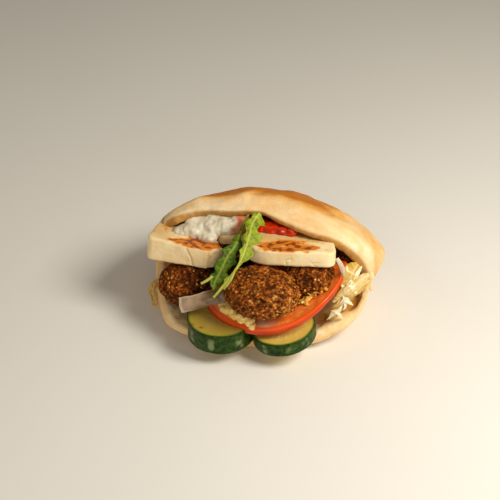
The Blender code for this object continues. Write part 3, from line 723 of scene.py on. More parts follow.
# The rim value paints a browner tone: painted shade at the back of the tops under the bread's lip, on the
# slab behind and in the left slab's crack and on its left end, and the real browning of its torn end.
body = cheese.mix(cheese.times(cheese.painted("rim"), 0.65), body, (0.70, 0.40, 0.115))
flecks = cheese.times(seared, cheese.step(cheese.cloud(5.5, 4, 0.5, (0.5, 1.3, 1)), 0.34, 0.52))
tone = cheese.mix(cheese.step(seared, 0.02, 0.5), body, (0.84, 0.50, 0.15))
tone = cheese.mix(cheese.step(flecks, 0.06, 0.34), tone, (0.72, 0.22, 0.014))
burnt = cheese.times(flecks, cheese.step(cheese.cloud(4.0, 4, 0.55), 0.44, 0.58))
tone = cheese.mix(cheese.step(burnt, 0.2, 0.6), tone, (0.26, 0.050, 0.005))
cheese.colour(tone)
cheese.bump(cheese.sum(cheese.cloud(0.9, 4, 0.6), cheese.times(cheese.cells(1.8), 0.3)), 0.16, 0.5)


def seared_at(flat, spots):
    """How strongly the pan has browned each point: the sum of soft oval spots, made ragged by noise."""
    strength = np.zeros(len(flat))
    for x, y, wide, deep in spots:
        strength += near(flat[:, :2], (x, y), (wide, deep))
    return strength + rough(flat, (0.35, 4, 3.0), (0.22, 1.7, 8.0))


# %% [markdown]
# The left slab is the thickest. It slopes down to the right, where it tore, and a crack runs down its
# front. The pan's marks lie along the front edge of its top.

# %% The left slab
place = slab_place((-41.3, -25.7, 41.5), 12, 1, 0)
mesh, flat = slab("halloumi_left", place, 46.5, 30, 38, 14.6, 4, 0.2)
flat[:, 2] /= 1 - 0.2 * (flat[:, 0] / 46.5 + 0.5)
top = smooth_step((flat[:, 2] - 13.0) / 1.2)
height = rough(flat, (0.26, 8, 1.0), (0.10, 2.6, 2.0), (0.04, 1.0, 3.0))
cut_back = 6.1 * np.clip((flat[:, 0] - 14.0) / 7.7, 0, 1.3)
torn = smooth_step((flat[:, 0] - 13.6) / 1.2) * smooth_step((9 - flat[:, 1]) / 4)
ragged = rough(flat, (0.9, 3.4, 5.0), (0.5, 1.5, 6.0))
height += torn * (0.8 * ragged - 0.4)
split = crack(flat, ((0.5, 3, 14.8), (1.4, 0.2, 12.7), (2.6, -0.2, 9.5), (4.4, -0.2, 6.2), (5.6, 0, 1.0)),
              0.42, 0.8)
height -= split
height -= crack(flat, ((4.2, -0.2, 4.2), (1.2, -0.2, 2.0)), 0.4, 0.4)
sear = seared_at(flat, ((-4, 4.2, 6, 3), (4, 4.2, 7, 4.4), (11, 5, 7, 5), (6, 9, 9, 3.2), (15, 9, 5, 5)))
sear = np.clip(sear, 0, 1) * top
# painted shade at the back of the top, under the bread's lip, and on the left end of the top
painted_shade_back_left = np.maximum(smooth_step((flat[:, 1] - 11) / 9),
                     smooth_step((-9 - flat[:, 0]) / 8) * smooth_step(flat[:, 1] / 8))
worn = torn * smooth_step((bumps(flat, 2.6, 4.0) + 0.1) / 0.4)
# the crack is painted dark too, as painted shade
own_piece("halloumi_left_slab", mesh, cheese, ["halloumi_left"],
          {"seared": sear, "rim": np.maximum(painted_shade_back_left * top, split) + 0.8 * worn})
relief(mesh, height - 0.2 * sear)
points, _ = points_of(mesh)
move_points(mesh, points + (cut_back * np.clip(1 - flat[:, 1] / 16, 0, 1))[:, None]
            * np.array(place.to_3x3() @ Vector((0, 1, 0))))

# %% [markdown]
# The right slab is thinner, turned a little, and has a round left corner. Its marks lie further back.

# %% The right slab
place = slab_place((22.8, -27, 53.0), 9.5, 0.5, 11)
mesh, flat = slab("halloumi_right", place, 53, 48, 42, 9.8, 15)
top = smooth_step((flat[:, 2] - 8.3) / 1.2)
height = rough(flat, (0.28, 9, 11.0), (0.10, 2.8, 12.0), (0.04, 1.0, 13.0))
height -= crack(flat, ((-2, -0.2, 1.0), (-3, -0.2, 3.6), (0.5, -0.2, 5.0)), 0.5, 0.5)
height -= crack(flat, ((15, 0, 0.5), (12, -0.2, 2.8), (16.5, 0, 3.0)), 0.45, 0.4)
sear = seared_at(flat, ((-11, 5.2, 8, 3.6), (-1, 6.0, 10, 4.6), (9, 6.4, 6, 3.0), (-6, 11, 10, 3)))
sear = np.clip(0.85 * sear, 0, 0.8) * top
# painted shade at the back of the top, under the bread's lip
own_piece("halloumi_right_slab", mesh, cheese, ["halloumi_right"],
          {"seared": sear, "rim": smooth_step((flat[:, 1] - 11.5) / 3) * top})
relief(mesh, height - 0.2 * sear)

# %% [markdown]
# Only the end of a narrow slab shows in the gap between the two. It is painted a browner tone all over, as
# painted shade, and plain.

# %% The slab behind
place = slab_place((-15.0, -8, 44.5), 0, 0, 0)
mesh, flat = slab("halloumi_back", place, 22, 22, 30, 9.5, 5)
height = rough(flat, (0.25, 6, 21.0), (0.12, 2.0, 22.0))
# painted shade: the slab in the gap is painted browner all over
own_piece("halloumi_back_slab", mesh, cheese, ["halloumi_back"],
          {"seared": np.zeros(len(flat)), "rim": np.ones(len(flat)) * 0.7})
relief(mesh, height)

# %% [markdown]
# ## Round slices
# Tomato and cucumber are cut across, so both are discs: a flat cut face, a rim with skin on it, and a
# thin bright ring where the flesh meets the skin. A lathe would give a perfect coin. Here the rings
# are laid one by one, so the outline can wander and the tomato can curl up where the salad lifts it.

# %% A slice made of rings
def disc_matrix(normal, middle):
    up = Vector(normal).normalized()
    sideways = (Vector((1, 0, 0)) - up * up.x).normalized()
    axes = Matrix((sideways, up.cross(sideways), up)).transposed()
    return Matrix.Translation(Vector(middle)) @ axes.to_4x4()


def disc(middle, radius, thickness, normal, rim, sides=220, face_rings=34, wobble=0.0, curl=0.0, belly=0.0):
    """Points and faces of a slice, with its radius share, its angle and its height share."""
    half = thickness / 2
    turns = [math.pi / 2 * k / 6 for k in range(7)]
    wall = [(-half + rim) + (thickness - 2 * rim) * k / 9 for k in range(10)]
    face_r = [(radius - rim) * (k + 0.5) / face_rings for k in range(face_rings)]
    outline = [(r, -half) for r in face_r]
    outline += [(radius - rim + rim * math.sin(a), -half + rim - rim * math.cos(a)) for a in turns[:-1]]
    outline += [(radius + belly * (1 - (z / half) ** 2), z) for z in wall]
    outline += [(radius - rim + rim * math.cos(a), half - rim + rim * math.sin(a)) for a in turns[1:]]
    outline += [(r, half) for r in reversed(face_r)]
    place = disc_matrix(normal, middle)
    points, share, turn, level = [], [], [], []
    for r, z in outline:
        for k in range(sides):
            angle = 2 * math.pi * k / sides
            swell = r * (1 + wobble * (math.sin(3 * angle + 1) + 0.6 * math.sin(5 * angle)))
            x, y = swell * math.cos(angle), swell * math.sin(angle)
            lift = curl * (max(0.0, 0.97 * x - 0.24 * y) / radius) ** 2.5
            points.append(tuple(place @ Vector((x, y, z + lift))))
            share.append(r / radius)
            turn.append(angle)
            level.append(z / half)
    rings = [range(k * sides, (k + 1) * sides) for k in range(len(outline))]
    faces = skin_over(rings) + [tuple(reversed(rings[0])), tuple(rings[-1])]
    return np.array(points), faces, np.array(share), np.array(turn), np.array(level)


# %% [markdown]
# ## Cucumber
# The rind is nearly black green with paler streaks down it, partly painted glints, and it shines. Under
# it runs a thin light line, then firm green flesh, then the softer yellow middle with a ring of seeds that
# the knife cut through. The middle sinks a little and the paler seeds stand up in it, so they catch the
# light.

# %% Finish of the cucumber
cucumber = Finish("cucumber", 0.34, soft=(0.12, 3), coat=(0.06, 0.12), shine=0.14)
share = cucumber.painted("share")
flesh = cucumber.mix(cucumber.step(share, 0.45, 0.92), (0.78, 0.56, 0.13), (0.62, 0.46, 0.080))
cloudy = cucumber.times(cucumber.step(cucumber.cloud(5, 4), 0.42, 0.66), 0.5)
flesh = cucumber.mix(cloudy, flesh, (0.66, 0.48, 0.13))
flesh = cucumber.mix(cucumber.times(cucumber.painted("seed"), 0.6), flesh, (0.66, 0.54, 0.20))
# painted shade: the left slice's flesh is darker
flesh = cucumber.mix(cucumber.times(cucumber.painted("left_slice_shade"), 0.55), flesh, (0.28, 0.19, 0.014))
flesh = cucumber.mix(cucumber.step(share, 0.90, 0.955), flesh, (0.17, 0.24, 0.02))
streak_and_glint = cucumber.painted("streak_and_glint")
flesh = cucumber.mix(cucumber.painted("speck"), flesh, (0.34, 0.05, 0.010))
rind = cucumber.patches((0.008, 0.024, 0.0008), (0.030, 0.085, 0.0020), 2.2, 0.35, 0.7)
# the streaks: paler rind together with painted glints
rind = cucumber.mix(cucumber.times(cucumber.step(streak_and_glint, 0.1, 1.0), 0.8), rind, (0.27, 0.32, 0.14))
cucumber.colour(cucumber.mix(cucumber.painted("rind"), flesh, rind))
cucumber.bump(cucumber.cloud(0.7, 4, 0.6), 0.12, 0.5)

# %% [markdown]
# Both slices come from one loop. The seeds are strewn round the middle in a fixed random order, and a few
# pale streaks, partly painted glints, run down each rind. The left slice's flesh is painted darker, as
# painted shade, and two specks of spice lie on it.

# %% The cucumber slices
SEEDS = 26
SPECKS = (((-28.5, -54.3, 22.4), (1.3, 1.0, 2)), ((-22.5, -55.6, 22.4), (1.2, 0.9, 2)))  # place and size
CUCUMBERS = {  # middle, radius, thickness, direction of the cut face, angles of the pale streaks and their painted glints
    "cucumber_left": ((-14.4, -41.6, 15.7), 19.9, 13.4, (0, -0.02, 1), (-1.62, -0.72, -2.3)),
    "cucumber_right": ((22.0, -37.0, 13.9), 18.7, 8.4, (-0.15, -0.02, 1), (-1.95, -0.55, -1.1)),
}
for name, (middle, radius, thickness, normal, streaks) in CUCUMBERS.items():
    points, faces, share, turn, level = disc(middle, radius, thickness, normal, 0.7, wobble=0.006)
    rng = random.Random(name)
    seeds = np.zeros(len(points))
    place = disc_matrix(normal, middle)
    for n in range(SEEDS):
        angle = 2 * math.pi * (n + rng.uniform(-0.25, 0.25)) / SEEDS
        reach = radius * rng.uniform(0.36, 0.66)
        centre = place @ Vector((reach * math.cos(angle), reach * math.sin(angle), thickness / 2))
        along = place.to_3x3() @ Vector((math.cos(angle), math.sin(angle), 0))
        away = points - np.array(centre)
        run = away @ np.array(along)
        side = np.linalg.norm(away - run[:, None] * np.array(along), axis=1)
        seeds = np.maximum(seeds, np.exp(-(run / 2.3) ** 2 - (side / 0.85) ** 2))
    on_rind = smooth_step((share - 0.955) / 0.03)
    # pale streaks with painted glints down the rind
    streak_and_glint = np.zeros(len(points))
    for n, at in enumerate(streaks):
        away = (turn - at + math.pi) % (2 * math.pi) - math.pi
        streak_and_glint = np.maximum(streak_and_glint, np.exp(-(away / (0.10 + 0.05 * n)) ** 2) * (1 - 0.2 * n))
    streak_and_glint = streak_and_glint * (0.75 + 1.2 * bumps(points, 3.0, 5.0)) + 0.15 * bumps(points, 2.0, 3.0)
    streak_and_glint = np.clip(streak_and_glint, 0, 1) * smooth_step((0.95 - np.abs(level)) / 0.6)
    piece = make_piece(name + "_slice", points, faces, cucumber, [name],
                       {"share": share, "seed": seeds * (share < 0.9), "rind": on_rind, "streak_and_glint": streak_and_glint,
                        "speck": np.maximum(*[near(points, spot, size) for spot, size in SPECKS]),
                        "left_slice_shade": np.full(len(points), 1.0 if name == "cucumber_left" else 0.0)})
    on_face = 1 - smooth_step((share - 0.93) / 0.05)
    sunk = 0.3 * smooth_step((0.72 - share) / 0.3)
    height = on_face * (0.22 * seeds - sunk + 0.10 * bumps(points, 2.2, 4.0))
    height += rough(points, (0.06, 1.0, 6.0), (0.22, 7.0, 2.0))
    relief(piece.data, height)

# %% [markdown]
# ## Tomato
# Thin waxy skin, a wet pink wall, and pockets of jelly with seeds between the walls. Most of the slice
# is under the falafel, but what shows must look juicy, so the flesh is soft inside and has a clear
# wet coat. The pockets are dents in the face, six of them round the core.

# %% The tomato
tomato = Finish("tomato", 0.3, soft=(0.25, 4), spread=(1.0, 0.3, 0.15), coat=(0.14, 0.08), shine=0.2)
flesh = tomato.patches((0.86, 0.17, 0.022), (0.92, 0.27, 0.045), 4.5, 0.35, 0.7)
fibres = tomato.times(tomato.step(tomato.cloud(4.0, 3, 0.5, (1, 2.2, 1)), 0.52, 0.7), 0.5)
flesh = tomato.mix(fibres, flesh, (0.95, 0.44, 0.13))
flesh = tomato.mix(tomato.painted("jelly"), flesh, (0.50, 0.10, 0.015))
skin_tone = tomato.patches((0.56, 0.030, 0.003), (0.68, 0.060, 0.006), 7, 0.35, 0.7)
skin_tone = tomato.mix(tomato.step(tomato.painted("level"), 0.25, 0.85), skin_tone, (0.78, 0.11, 0.012))
# painted highlight: paler wet spots on the flesh
flesh = tomato.mix(tomato.times(tomato.painted("pale"), 0.75), flesh, (0.95, 0.66, 0.46))
tomato.colour(tomato.mix(tomato.painted("skin"), flesh, skin_tone))
tomato.bump(tomato.cloud(0.8, 4, 0.6), 0.10, 0.45)

points, faces, share, turn, level = disc((9.0, -10.0, 31.4), 43, 6.2, (0, -0.245, 0.97), 2.0, 300, 40,
                                         wobble=0.012, curl=12, belly=0.4)
pockets = 0.5 + 0.5 * np.cos(6 * turn + 0.8)
jelly = smooth_step((pockets - 0.45) / 0.3) * smooth_step((share - 0.3) / 0.12)
jelly *= smooth_step((0.64 - share) / 0.06)
on_face = smooth_step((0.965 - share) / 0.03)
# two paler spots on the face, painted highlights of the wet flesh
pale = near(points, (13, -49, 24), (7, 4, 4)) + 0.5 * near(points, (-14, -40, 27), (8, 6, 5))
piece = make_piece("tomato_slice", points, faces, tomato, ["tomato"],
                   {"jelly": jelly * on_face, "skin": 1 - on_face, "level": level, "pale": pale})
height = on_face * (rough(points, (0.30, 4.5, 4.0), (0.06, 1.4, 5.0)) - 0.9 * jelly)
height += rough(points, (0.25, 9, 8.0), (0.05, 1.6, 9.0))
relief(piece.data, height)

# %% [markdown]
# ## Sauces
# Yoghurt with cucumber stands in lumps, chilli sauce lies in glossy pools, and hummus is a coarse
# paste. Each starts as overlapping drops where the solid has them. A voxel remesh melts the drops into
# one skin, and relief of the right coarseness tells them apart: lumpy, smooth, or beady.

# %% Melted drops
def drops_mesh(name, drops, voxel, smoothing, extra=0, spread=1.0, seed=1):
    """Drops, with some small ones strewn on them, melted into one skin."""
    rng = random.Random(seed)
    points, faces = [], []
    strewn = []
    for n in range(extra):
        x, y, z, rx, ry, rz = drops[rng.randrange(len(drops))]
        a, up = rng.uniform(0, 2 * math.pi), rng.uniform(0.1, 1.3)
        size = rng.uniform(0.16, 0.34) * min(rx, ry, rz) * spread
        strewn.append((x + 0.86 * rx * math.cos(a) * math.cos(up), y + 0.86 * ry * math.sin(a) * math.cos(up),
                       z + 0.86 * rz * math.sin(up), size * 1.2, size, size))
    for x, y, z, rx, ry, rz in [*drops, *strewn]:
        start = len(points)
        tall, around = 10, 18
        for i in range(1, tall):
            lat = math.pi * i / tall - math.pi / 2
            for j in range(around):
                lon = 2 * math.pi * j / around
                points.append((x + rx * math.cos(lat) * math.cos(lon), y + ry * math.cos(lat) * math.sin(lon),
                               z + rz * math.sin(lat)))
        rows = [range(start + i * around, start + (i + 1) * around) for i in range(tall - 1)]
        faces += skin_over(rows) + [tuple(reversed(rows[0])), tuple(rows[-1])]
    return voxel_mesh(name, np.array(points), faces, voxel, smoothing)


# %% [markdown]
# Thick and nearly matt, with bits of herb. Where it meets the chilli sauce it is stained.

# %% The yoghurt sauce
tzatziki = Finish("yoghurt sauce", 0.34, soft=(0.3, 3), spread=(1.0, 0.95, 0.88), coat=(0.15, 0.25))
tone = tzatziki.patches((0.78, 0.73, 0.60), (0.68, 0.60, 0.43), 3.5, 0.4, 0.7)
herbs = tzatziki.times(tzatziki.step(tzatziki.cells(3.4), 0.12, 0.05), 0.3)
tone = tzatziki.mix(herbs, tone, (0.45, 0.45, 0.22))
tone = tzatziki.mix(tzatziki.painted("stain"), tone, (0.60, 0.13, 0.022))
tzatziki.colour(tone)
tzatziki.bump(tzatziki.cloud(0.9, 5, 0.65), 0.3, 0.6)
SAUCE = ((-46, -5, 50.5, 8, 6.5, 4.5), (-39, -1, 52.5, 9, 9.5, 5.3), (-31, -8.5, 52.2, 6, 5.5, 3.4),
         (-28, 1, 54.5, 9, 10, 5.8), (-20.5, 1, 56.8, 8, 8.5, 5.5), (-14.5, 2, 57.5, 6.5, 8, 6.5),
         (-38, 3, 56, 8, 6, 4), (-28, 5, 58.5, 9, 6, 4))
mesh = drops_mesh("tzatziki", SAUCE, 0.5, 28, 14, 1.5, 4)
points, _ = points_of(mesh)
height = 0.1 + rough(points, (1.3, 6.0, 1.0), (0.6, 2.4, 2.0), (0.08, 0.9, 3.0))
stain = smooth_step((points[:, 0] + 17.5 + 3 * bumps(points, 4, 5.0)) / 4) * 0.9
own_piece("tzatziki_sauce", mesh, tzatziki, ["tzatziki"], {"stain": stain})
relief(mesh, height)

# %% [markdown]
# Oily and deep red: a smooth skin, a strong wet coat, and paler seeds inside.

# %% The chilli sauce
chilli = Finish("chilli sauce", 0.16, soft=(0.1, 2), spread=(1.0, 0.15, 0.05), coat=(0.6, 0.03), shine=0.15)
tone = chilli.patches((0.44, 0.010, 0.001), (0.66, 0.045, 0.002), 3.0, 0.35, 0.7)
tone = chilli.mix(chilli.times(chilli.step(chilli.cells(1.9), 0.14, 0.07), 0.6), tone, (0.80, 0.25, 0.02))
chilli.colour(tone)
chilli.bump(chilli.cloud(1.4, 3, 0.5), 0.3, 0.5)
POOL = ((-1.5, 0, 59.5, 6.5, 7, 3.6), (6.5, -1, 59.8, 7.5, 6, 3.6), (13.5, -2.5, 60, 6.5, 4.5, 3.4),
        (18.5, -4, 61, 4, 3.5, 2.8))
mesh = drops_mesh("chilli", POOL, 0.45, 8, 14, 1.3, 7)
points, _ = points_of(mesh)
own_piece("chilli_pool", mesh, chilli, ["chilli_sauce"])
relief(mesh, rough(points, (0.5, 3.6, 1.0), (0.18, 1.6, 2.0)) - 0.2)

# %% [markdown]
# It lies along the edge of the tomato in a row of small ridges, and its grains dent the skin.

# %% The hummus
hummus = Finish("hummus", 0.4, soft=(0.2, 2), coat=(0.2, 0.25))
tone = hummus.patches((1.0, 0.62, 0.15), (1.0, 0.82, 0.32), 1.8, 0.38, 0.68)
tone = hummus.mix(hummus.times(hummus.step(hummus.cells(2.2), 0.2, 0.1), 0.8), tone, (0.62, 0.20, 0.02))
hummus.colour(tone)
hummus.bump(hummus.cloud(0.6, 4, 0.6), 0.2, 0.6)
PASTE = ((-13.5, -39, 28.6, 3.0, 2.8, 2.6), (-9.5, -43, 28, 3.4, 3.0, 2.4), (-5, -46, 27.6, 3.2, 3.0, 2.6),
         (0, -48, 27.2, 3.8, 3.0, 2.4), (4.3, -49.5, 26.9, 3.0, 2.7, 2.4), (6.6, -51.2, 25.4, 1.5, 1.7, 2.7))
mesh = drops_mesh("hummus", PASTE, 0.32, 6, 14, 2.2, 3)
points, _ = points_of(mesh)
far, own = grains(points, 2.0, 1.0)
own_piece("hummus_smear", mesh, hummus, ["hummus"])
relief(mesh, 0.5 - 0.45 * far + 0.9 * bumps(points, 3.0, 2.0))

# %% [markdown]
# ## Crumbs
# The right falafel broke when it was pressed in, and golden chickpea bits, some green with herbs, lie
# in the corner between it and the tomato. They are small drops strewn along a line with a fixed seed,
# melted together only where they touch.

# %% The crumbs
crumbs = Finish("chickpea crumbs", 0.5, shine=0.2)
own = crumbs.painted("own")
tone = crumbs.mix(crumbs.step(own, 0.25, 0.30), (0.34, 0.085, 0.010), (0.72, 0.36, 0.050))
tone = crumbs.mix(crumbs.step(own, 0.72, 0.76), tone, (0.44, 0.36, 0.045))
tone = crumbs.mix(crumbs.step(own, 0.86, 0.90), tone, (0.92, 0.66, 0.22))
crumbs.colour(tone)
crumbs.bump(crumbs.cloud(0.5, 3, 0.6), 0.15, 0.6)
CRUMBS = 90
rng = random.Random(21)
start, end = Vector((32.4, -33.6, 34.2)), Vector((42.4, -25.2, 41.0))
bits = []
for _ in range(CRUMBS):
    centre = start.lerp(end, rng.random())
    centre += Vector((rng.gauss(0, 1.2), rng.gauss(0.2, 1.2), rng.gauss(0.2, 0.9)))
    size = rng.uniform(0.6, 1.35)
    bits.append((*centre, size * rng.uniform(0.9, 1.4), size, size * rng.uniform(0.7, 1.1)))
mesh = drops_mesh("crumbs", bits, 0.3, 2)
points, _ = points_of(mesh)
far, own = grains(points, 2.0, 4.0)
own_piece("falafel_crumbs", mesh, crumbs, (), {"own": own})
relief(mesh, 0.1 - 0.3 * far)

# %% [markdown]
# ## Leaves
# A leaf is a thin sheet on a curved midrib. Its half widths on the left and on the right are listed
# from base to tip, so lobes and notches come out where the real leaf has them. The sheet dips along
# the midrib, ripples more towards its edge, and has two faces and a rim, so it is solid when printed.

# %% A thin blade along a line
FACING = (0.2, -0.8, 0.6)


def read(values, t):
    """A row of values read at t from 0 to 1, with soft steps between them."""
    at = t * (len(values) - 1)
    low = min(int(at), len(values) - 2)
    return values[low] + (values[low + 1] - values[low]) * float(smooth_step(at - low))


def blade(line, left, right, thickness, facing=FACING, rows=90, columns=15, ripple=0.6, pitch=5.0, cup=0.0,
          vein=0.0, seed=1.0, twist=0.0):
    """Points and faces of a leaf, with its place across (-1 to 1) and along (0 to 1)."""
    centre = spline(line, 24)
    lengths = np.cumsum([0] + [(b - a).length for a, b in zip(centre, centre[1:])])
    top, bottom, across, along_leaf = [], [], [], []
    for k in range(rows):
        t = k / (rows - 1)
        at = t * lengths[-1]
        i = min(int(np.searchsorted(lengths, at, side="right")) - 1, len(centre) - 2)
        part = (at - lengths[i]) / max(lengths[i + 1] - lengths[i], 1e-9)
        point = centre[i].lerp(centre[i + 1], part)
        along = (centre[min(i + 2, len(centre) - 1)] - centre[max(i - 1, 0)]).normalized()
        face = Matrix.Rotation(twist * t, 3, along) @ Vector(facing)
        side = along.cross(face).normalized()
        up = side.cross(along)
        wide_left, wide_right = read(left, t), read(right, t)
        for j in range(columns):
            u = -1 + 2 * j / (columns - 1)
            half = wide_right if u > 0 else wide_left
            where = point + side * (u * half)
            wave = ripple * abs(u) ** 1.5 * min(1.0, half / 3)
            lift = wave * 2 * noise.noise((at / pitch + seed, 1.7 * u, seed))
            lift += cup * u * u * min(half, 6) - vein * math.exp(-(u * half / 0.45) ** 2)
            lift += 0.35 * vein * math.sin(at * 2.2 + abs(u) * 4)
            rim = 0.5 * thickness * (1 - 0.6 * u * u)
            top.append(tuple(where + up * (lift + rim)))
            bottom.append(tuple(where + up * (lift - rim)))
            across.append(u)
            along_leaf.append(t)
    count = rows * columns
    faces = []
    for k in range(rows - 1):
        for j in range(columns - 1):
            a, b = k * columns + j, (k + 1) * columns + j
            faces.append((a, a + 1, b + 1, b))
            faces.append((count + b, count + b + 1, count + a + 1, count + a))
        for j in (0, columns - 1):
            a, b = k * columns + j, (k + 1) * columns + j
            quad = (a, b, count + b, count + a)
            faces.append(quad if j == 0 else tuple(reversed(quad)))
    for k in (0, rows - 1):
        for j in range(columns - 1):
            a = k * columns + j
            quad = (a, a + 1, count + a + 1, count + a)
            faces.append(quad if k else tuple(reversed(quad)))
    return np.array(top + bottom), faces, np.array(across * 2), np.array(along_leaf * 2)


# %% [markdown]
# ## Rocket
# Rocket leaves are long and lobed, with a pale midrib that runs into a juicy stem. One is turned to
# the light and is fresh yellow green; the other lies in the shade behind it and gets a darker copy of
# the finish, as painted shade.

# %% Finish of the rocket
def leaf_finish(name, blade_tone, deep_tone, rib_tone):
    leaf = Finish(name, 0.42, soft=(0.12, 2), spread=(0.6, 1.0, 0.2), coat=(0.04, 0.3), shine=0.18)
    tone = leaf.patches(blade_tone, deep_tone, 3.4, 0.36, 0.68)
    tone = leaf.mix(leaf.times(leaf.painted("vein"), 0.85), tone, rib_tone)
    leaf.colour(tone)
    leaf.bump(leaf.sum(leaf.cloud(1.0, 3), leaf.times(leaf.cells(1.5), 0.6)), 0.2, 0.7)
    return leaf


bright_leaf = leaf_finish("bright rocket", (0.33, 0.40, 0.022), (0.14, 0.22, 0.008), (0.58, 0.56, 0.13))
# painted shade: a darker copy of the rocket finish for the leaf that lies in shade
shade_painted_leaf = leaf_finish("shade painted rocket", (0.11, 0.19, 0.008), (0.035, 0.085, 0.003), (0.34, 0.40, 0.05))


def veins(across, along, left, right, side_veins=9):
    """1 on the midrib and on the side veins that branch off it, 0 between them."""
    half = np.array([read(right if u > 0 else left, t) for u, t in zip(across, along)])
    away = np.abs(across) * half
    midrib = np.exp(-(away / 0.42) ** 2)
    branch = (along * side_veins - away * 0.16) % 1.0
    side = np.exp(-((branch - 0.5) / 0.07) ** 2) * np.clip(1 - away / 6, 0, 1) * (half > 1.4)
    return np.clip(midrib + 0.55 * side, 0, 1)


# %% [markdown]
# The rows of half widths make the lobes. Two loose stalks come from the same blade, bare and thicker.

# %% The rocket leaves
LEAVES = {  # line of the midrib, half widths on the left and on the right, finish
    "rocket_light": (
        ((-0.8, -3, 70.2), (-2.5, -10, 69.3), (-2.6, -18, 66.7), (-2.5, -27, 63.5), (-3.3, -34, 60.1),
         (-4.5, -39, 57.5), (-7.7, -43.5, 52.7), (-11.8, -47, 47.0), (-16.3, -50, 40.9)),
        (1.5, 6.0, 7.4, 4.0, 3.2, 7.4, 6.6, 3.0, 3.4, 5.6,
         3.8, 1.4, 0.8, 0.75, 0.8, 0.8, 0.85, 0.8, 0.8, 0.75),
        (2.0, 2.8, 2.4, 4.6, 3.4, 2.4, 4.0, 2.4, 1.8, 3.2,
         1.8, 1.0, 0.8, 0.75, 0.8, 2.0, 0.9, 0.8, 0.8, 0.75),
        bright_leaf),
    "rocket_dark": (
        ((-7.6, -3, 68.3), (-8.9, -9, 65.2), (-9.4, -17, 62.6), (-9.8, -25, 60.8), (-12.7, -31, 57.1),
         (-15.1, -36, 51.3), (-17.9, -40, 44.7), (-18.3, -43, 40.8)),
        (0.6, 0.8, 0.8, 0.9, 0.9, 1.2, 3.0, 4.2, 2.6, 4.6, 6.4, 4.4, 3.6, 6.4, 6.0, 3.0, 0.8),
        (0.6, 0.8, 0.8, 0.9, 1.2, 2.6, 3.4, 2.0, 3.6, 4.8, 3.0, 4.6, 5.0, 2.8, 4.4, 2.6, 0.8),
        shade_painted_leaf),
}
for name, (line, left, right, finish) in LEAVES.items():
    points, faces, across, along = blade(line, left, right, 0.7, rows=150, columns=19, ripple=0.9, pitch=6.0,
                                         cup=-0.10, vein=0.35, seed=len(name))
    make_piece(name + "_leaf", points, faces, finish, [name],
               {"vein": veins(across, along, left, right)})
STALK = (0.7, 0.8, 0.7)  # half widths
SPRIGS = {
    "rocket_sprig_stem": (((-25.2, -44, 44.8), (-22.1, -43, 46.8), (-19.2, -41, 48.9)), ["rocket_sprig"]),
    "rocket_side_stem": (((-6.2, -41.6, 55.0), (-7.6, -44.4, 51.0), (-11.0, -46.8, 45.5)), []),
}
for name, (line, stands_for) in SPRIGS.items():
    points, faces, _, _ = blade(line, STALK, STALK, 1.2, rows=30, columns=9, ripple=0.1)
    make_piece(name, points, faces, bright_leaf, stands_for, {"vein": np.full(len(points), 0.8)})

# %% [markdown]
# ## Onion
# A curved band of raw onion: nearly clear, whiter at its edges and its cut end, with fine straight
# lines where its cells run. It is thicker than a leaf and cut square at its left end. A thin whitish
# strip on the right, between the cheese and the bread, gets the same finish.

# %% The onion
onion = Finish("raw onion", 0.25, soft=(0.35, 3), coat=(0.3, 0.15))
lines = onion.step(onion.painted("line"), 0.2, 0.8)
tone = onion.patches((0.40, 0.27, 0.16), (0.52, 0.38, 0.25), 4, 0.4, 0.65, 3)
tone = onion.mix(onion.times(lines, 0.14), tone, (0.34, 0.21, 0.12))
tone = onion.mix(onion.times(onion.painted("edge"), 0.75), tone, (0.74, 0.60, 0.44))
tone = onion.mix(onion.painted("shaded"), tone, (0.17, 0.085, 0.028))
onion.colour(tone)
onion.bump(onion.cloud(1.0, 3, 0.5, (1, 1, 0.4)), 0.15, 0.4)


def onion_piece(name, line, half, thickness, stands_for, cup, seed, white):
    """A strip of onion; white is 0 for clear flesh with a shaded end and 1 for an evenly white strip."""
    points, faces, across, along = blade(line, half, half, thickness, rows=80, columns=31, ripple=0.5,
                                         pitch=9, cup=cup, seed=seed)
    stripes = 0.5 + 0.5 * np.sin(across * 22)
    sides = smooth_step((np.abs(across) - 0.75) / 0.25)
    cut_end = smooth_step((0.10 - along) / 0.06)
    shaded = 0.8 * (1 - white) * smooth_step((along - 0.18 + 0.2 * across) / 0.4)
    edge = np.maximum(np.maximum(sides, cut_end), white)
    piece = make_piece(name, points, faces, onion, stands_for,
                       {"line": stripes, "edge": edge, "shaded": shaded})
    relief(piece.data, 0.04 * stripes + 0.45 * bumps(points, 4, 2.0))


line = ((-37.5, -46.5, 28.6), (-30.8, -47, 31.6), (-24, -45, 34), (-17.5, -42, 35.4), (-12.5, -40, 35.6))
half = (4.6, 4.5, 4.3, 4.3, 4.4, 4.6)
onion_piece("onion_band", line, half, 2.2, ["onion"], -0.14, 3.0, 0)
line = ((47.9, -16, 55.7), (50.3, -17, 52.3), (51.9, -17, 47.4), (52.5, -15.8, 41.9))
half = (1.0, 1.4, 1.5, 1.3, 0.9, 0.5)
onion_piece("onion_right", line, half, 1.0, ["lettuce_rib"], -0.2, 5.0, 1)

# %% [markdown]
# ## The bread's torn corner
# Where the pocket was cut open the dough tore on the right, so a thin whitish strip of crumb hangs
# over the corner and ends in a small nub. It is a blade like the leaves, thicker and ragged, and it
# shares the bread's finish with the crumb value at full.

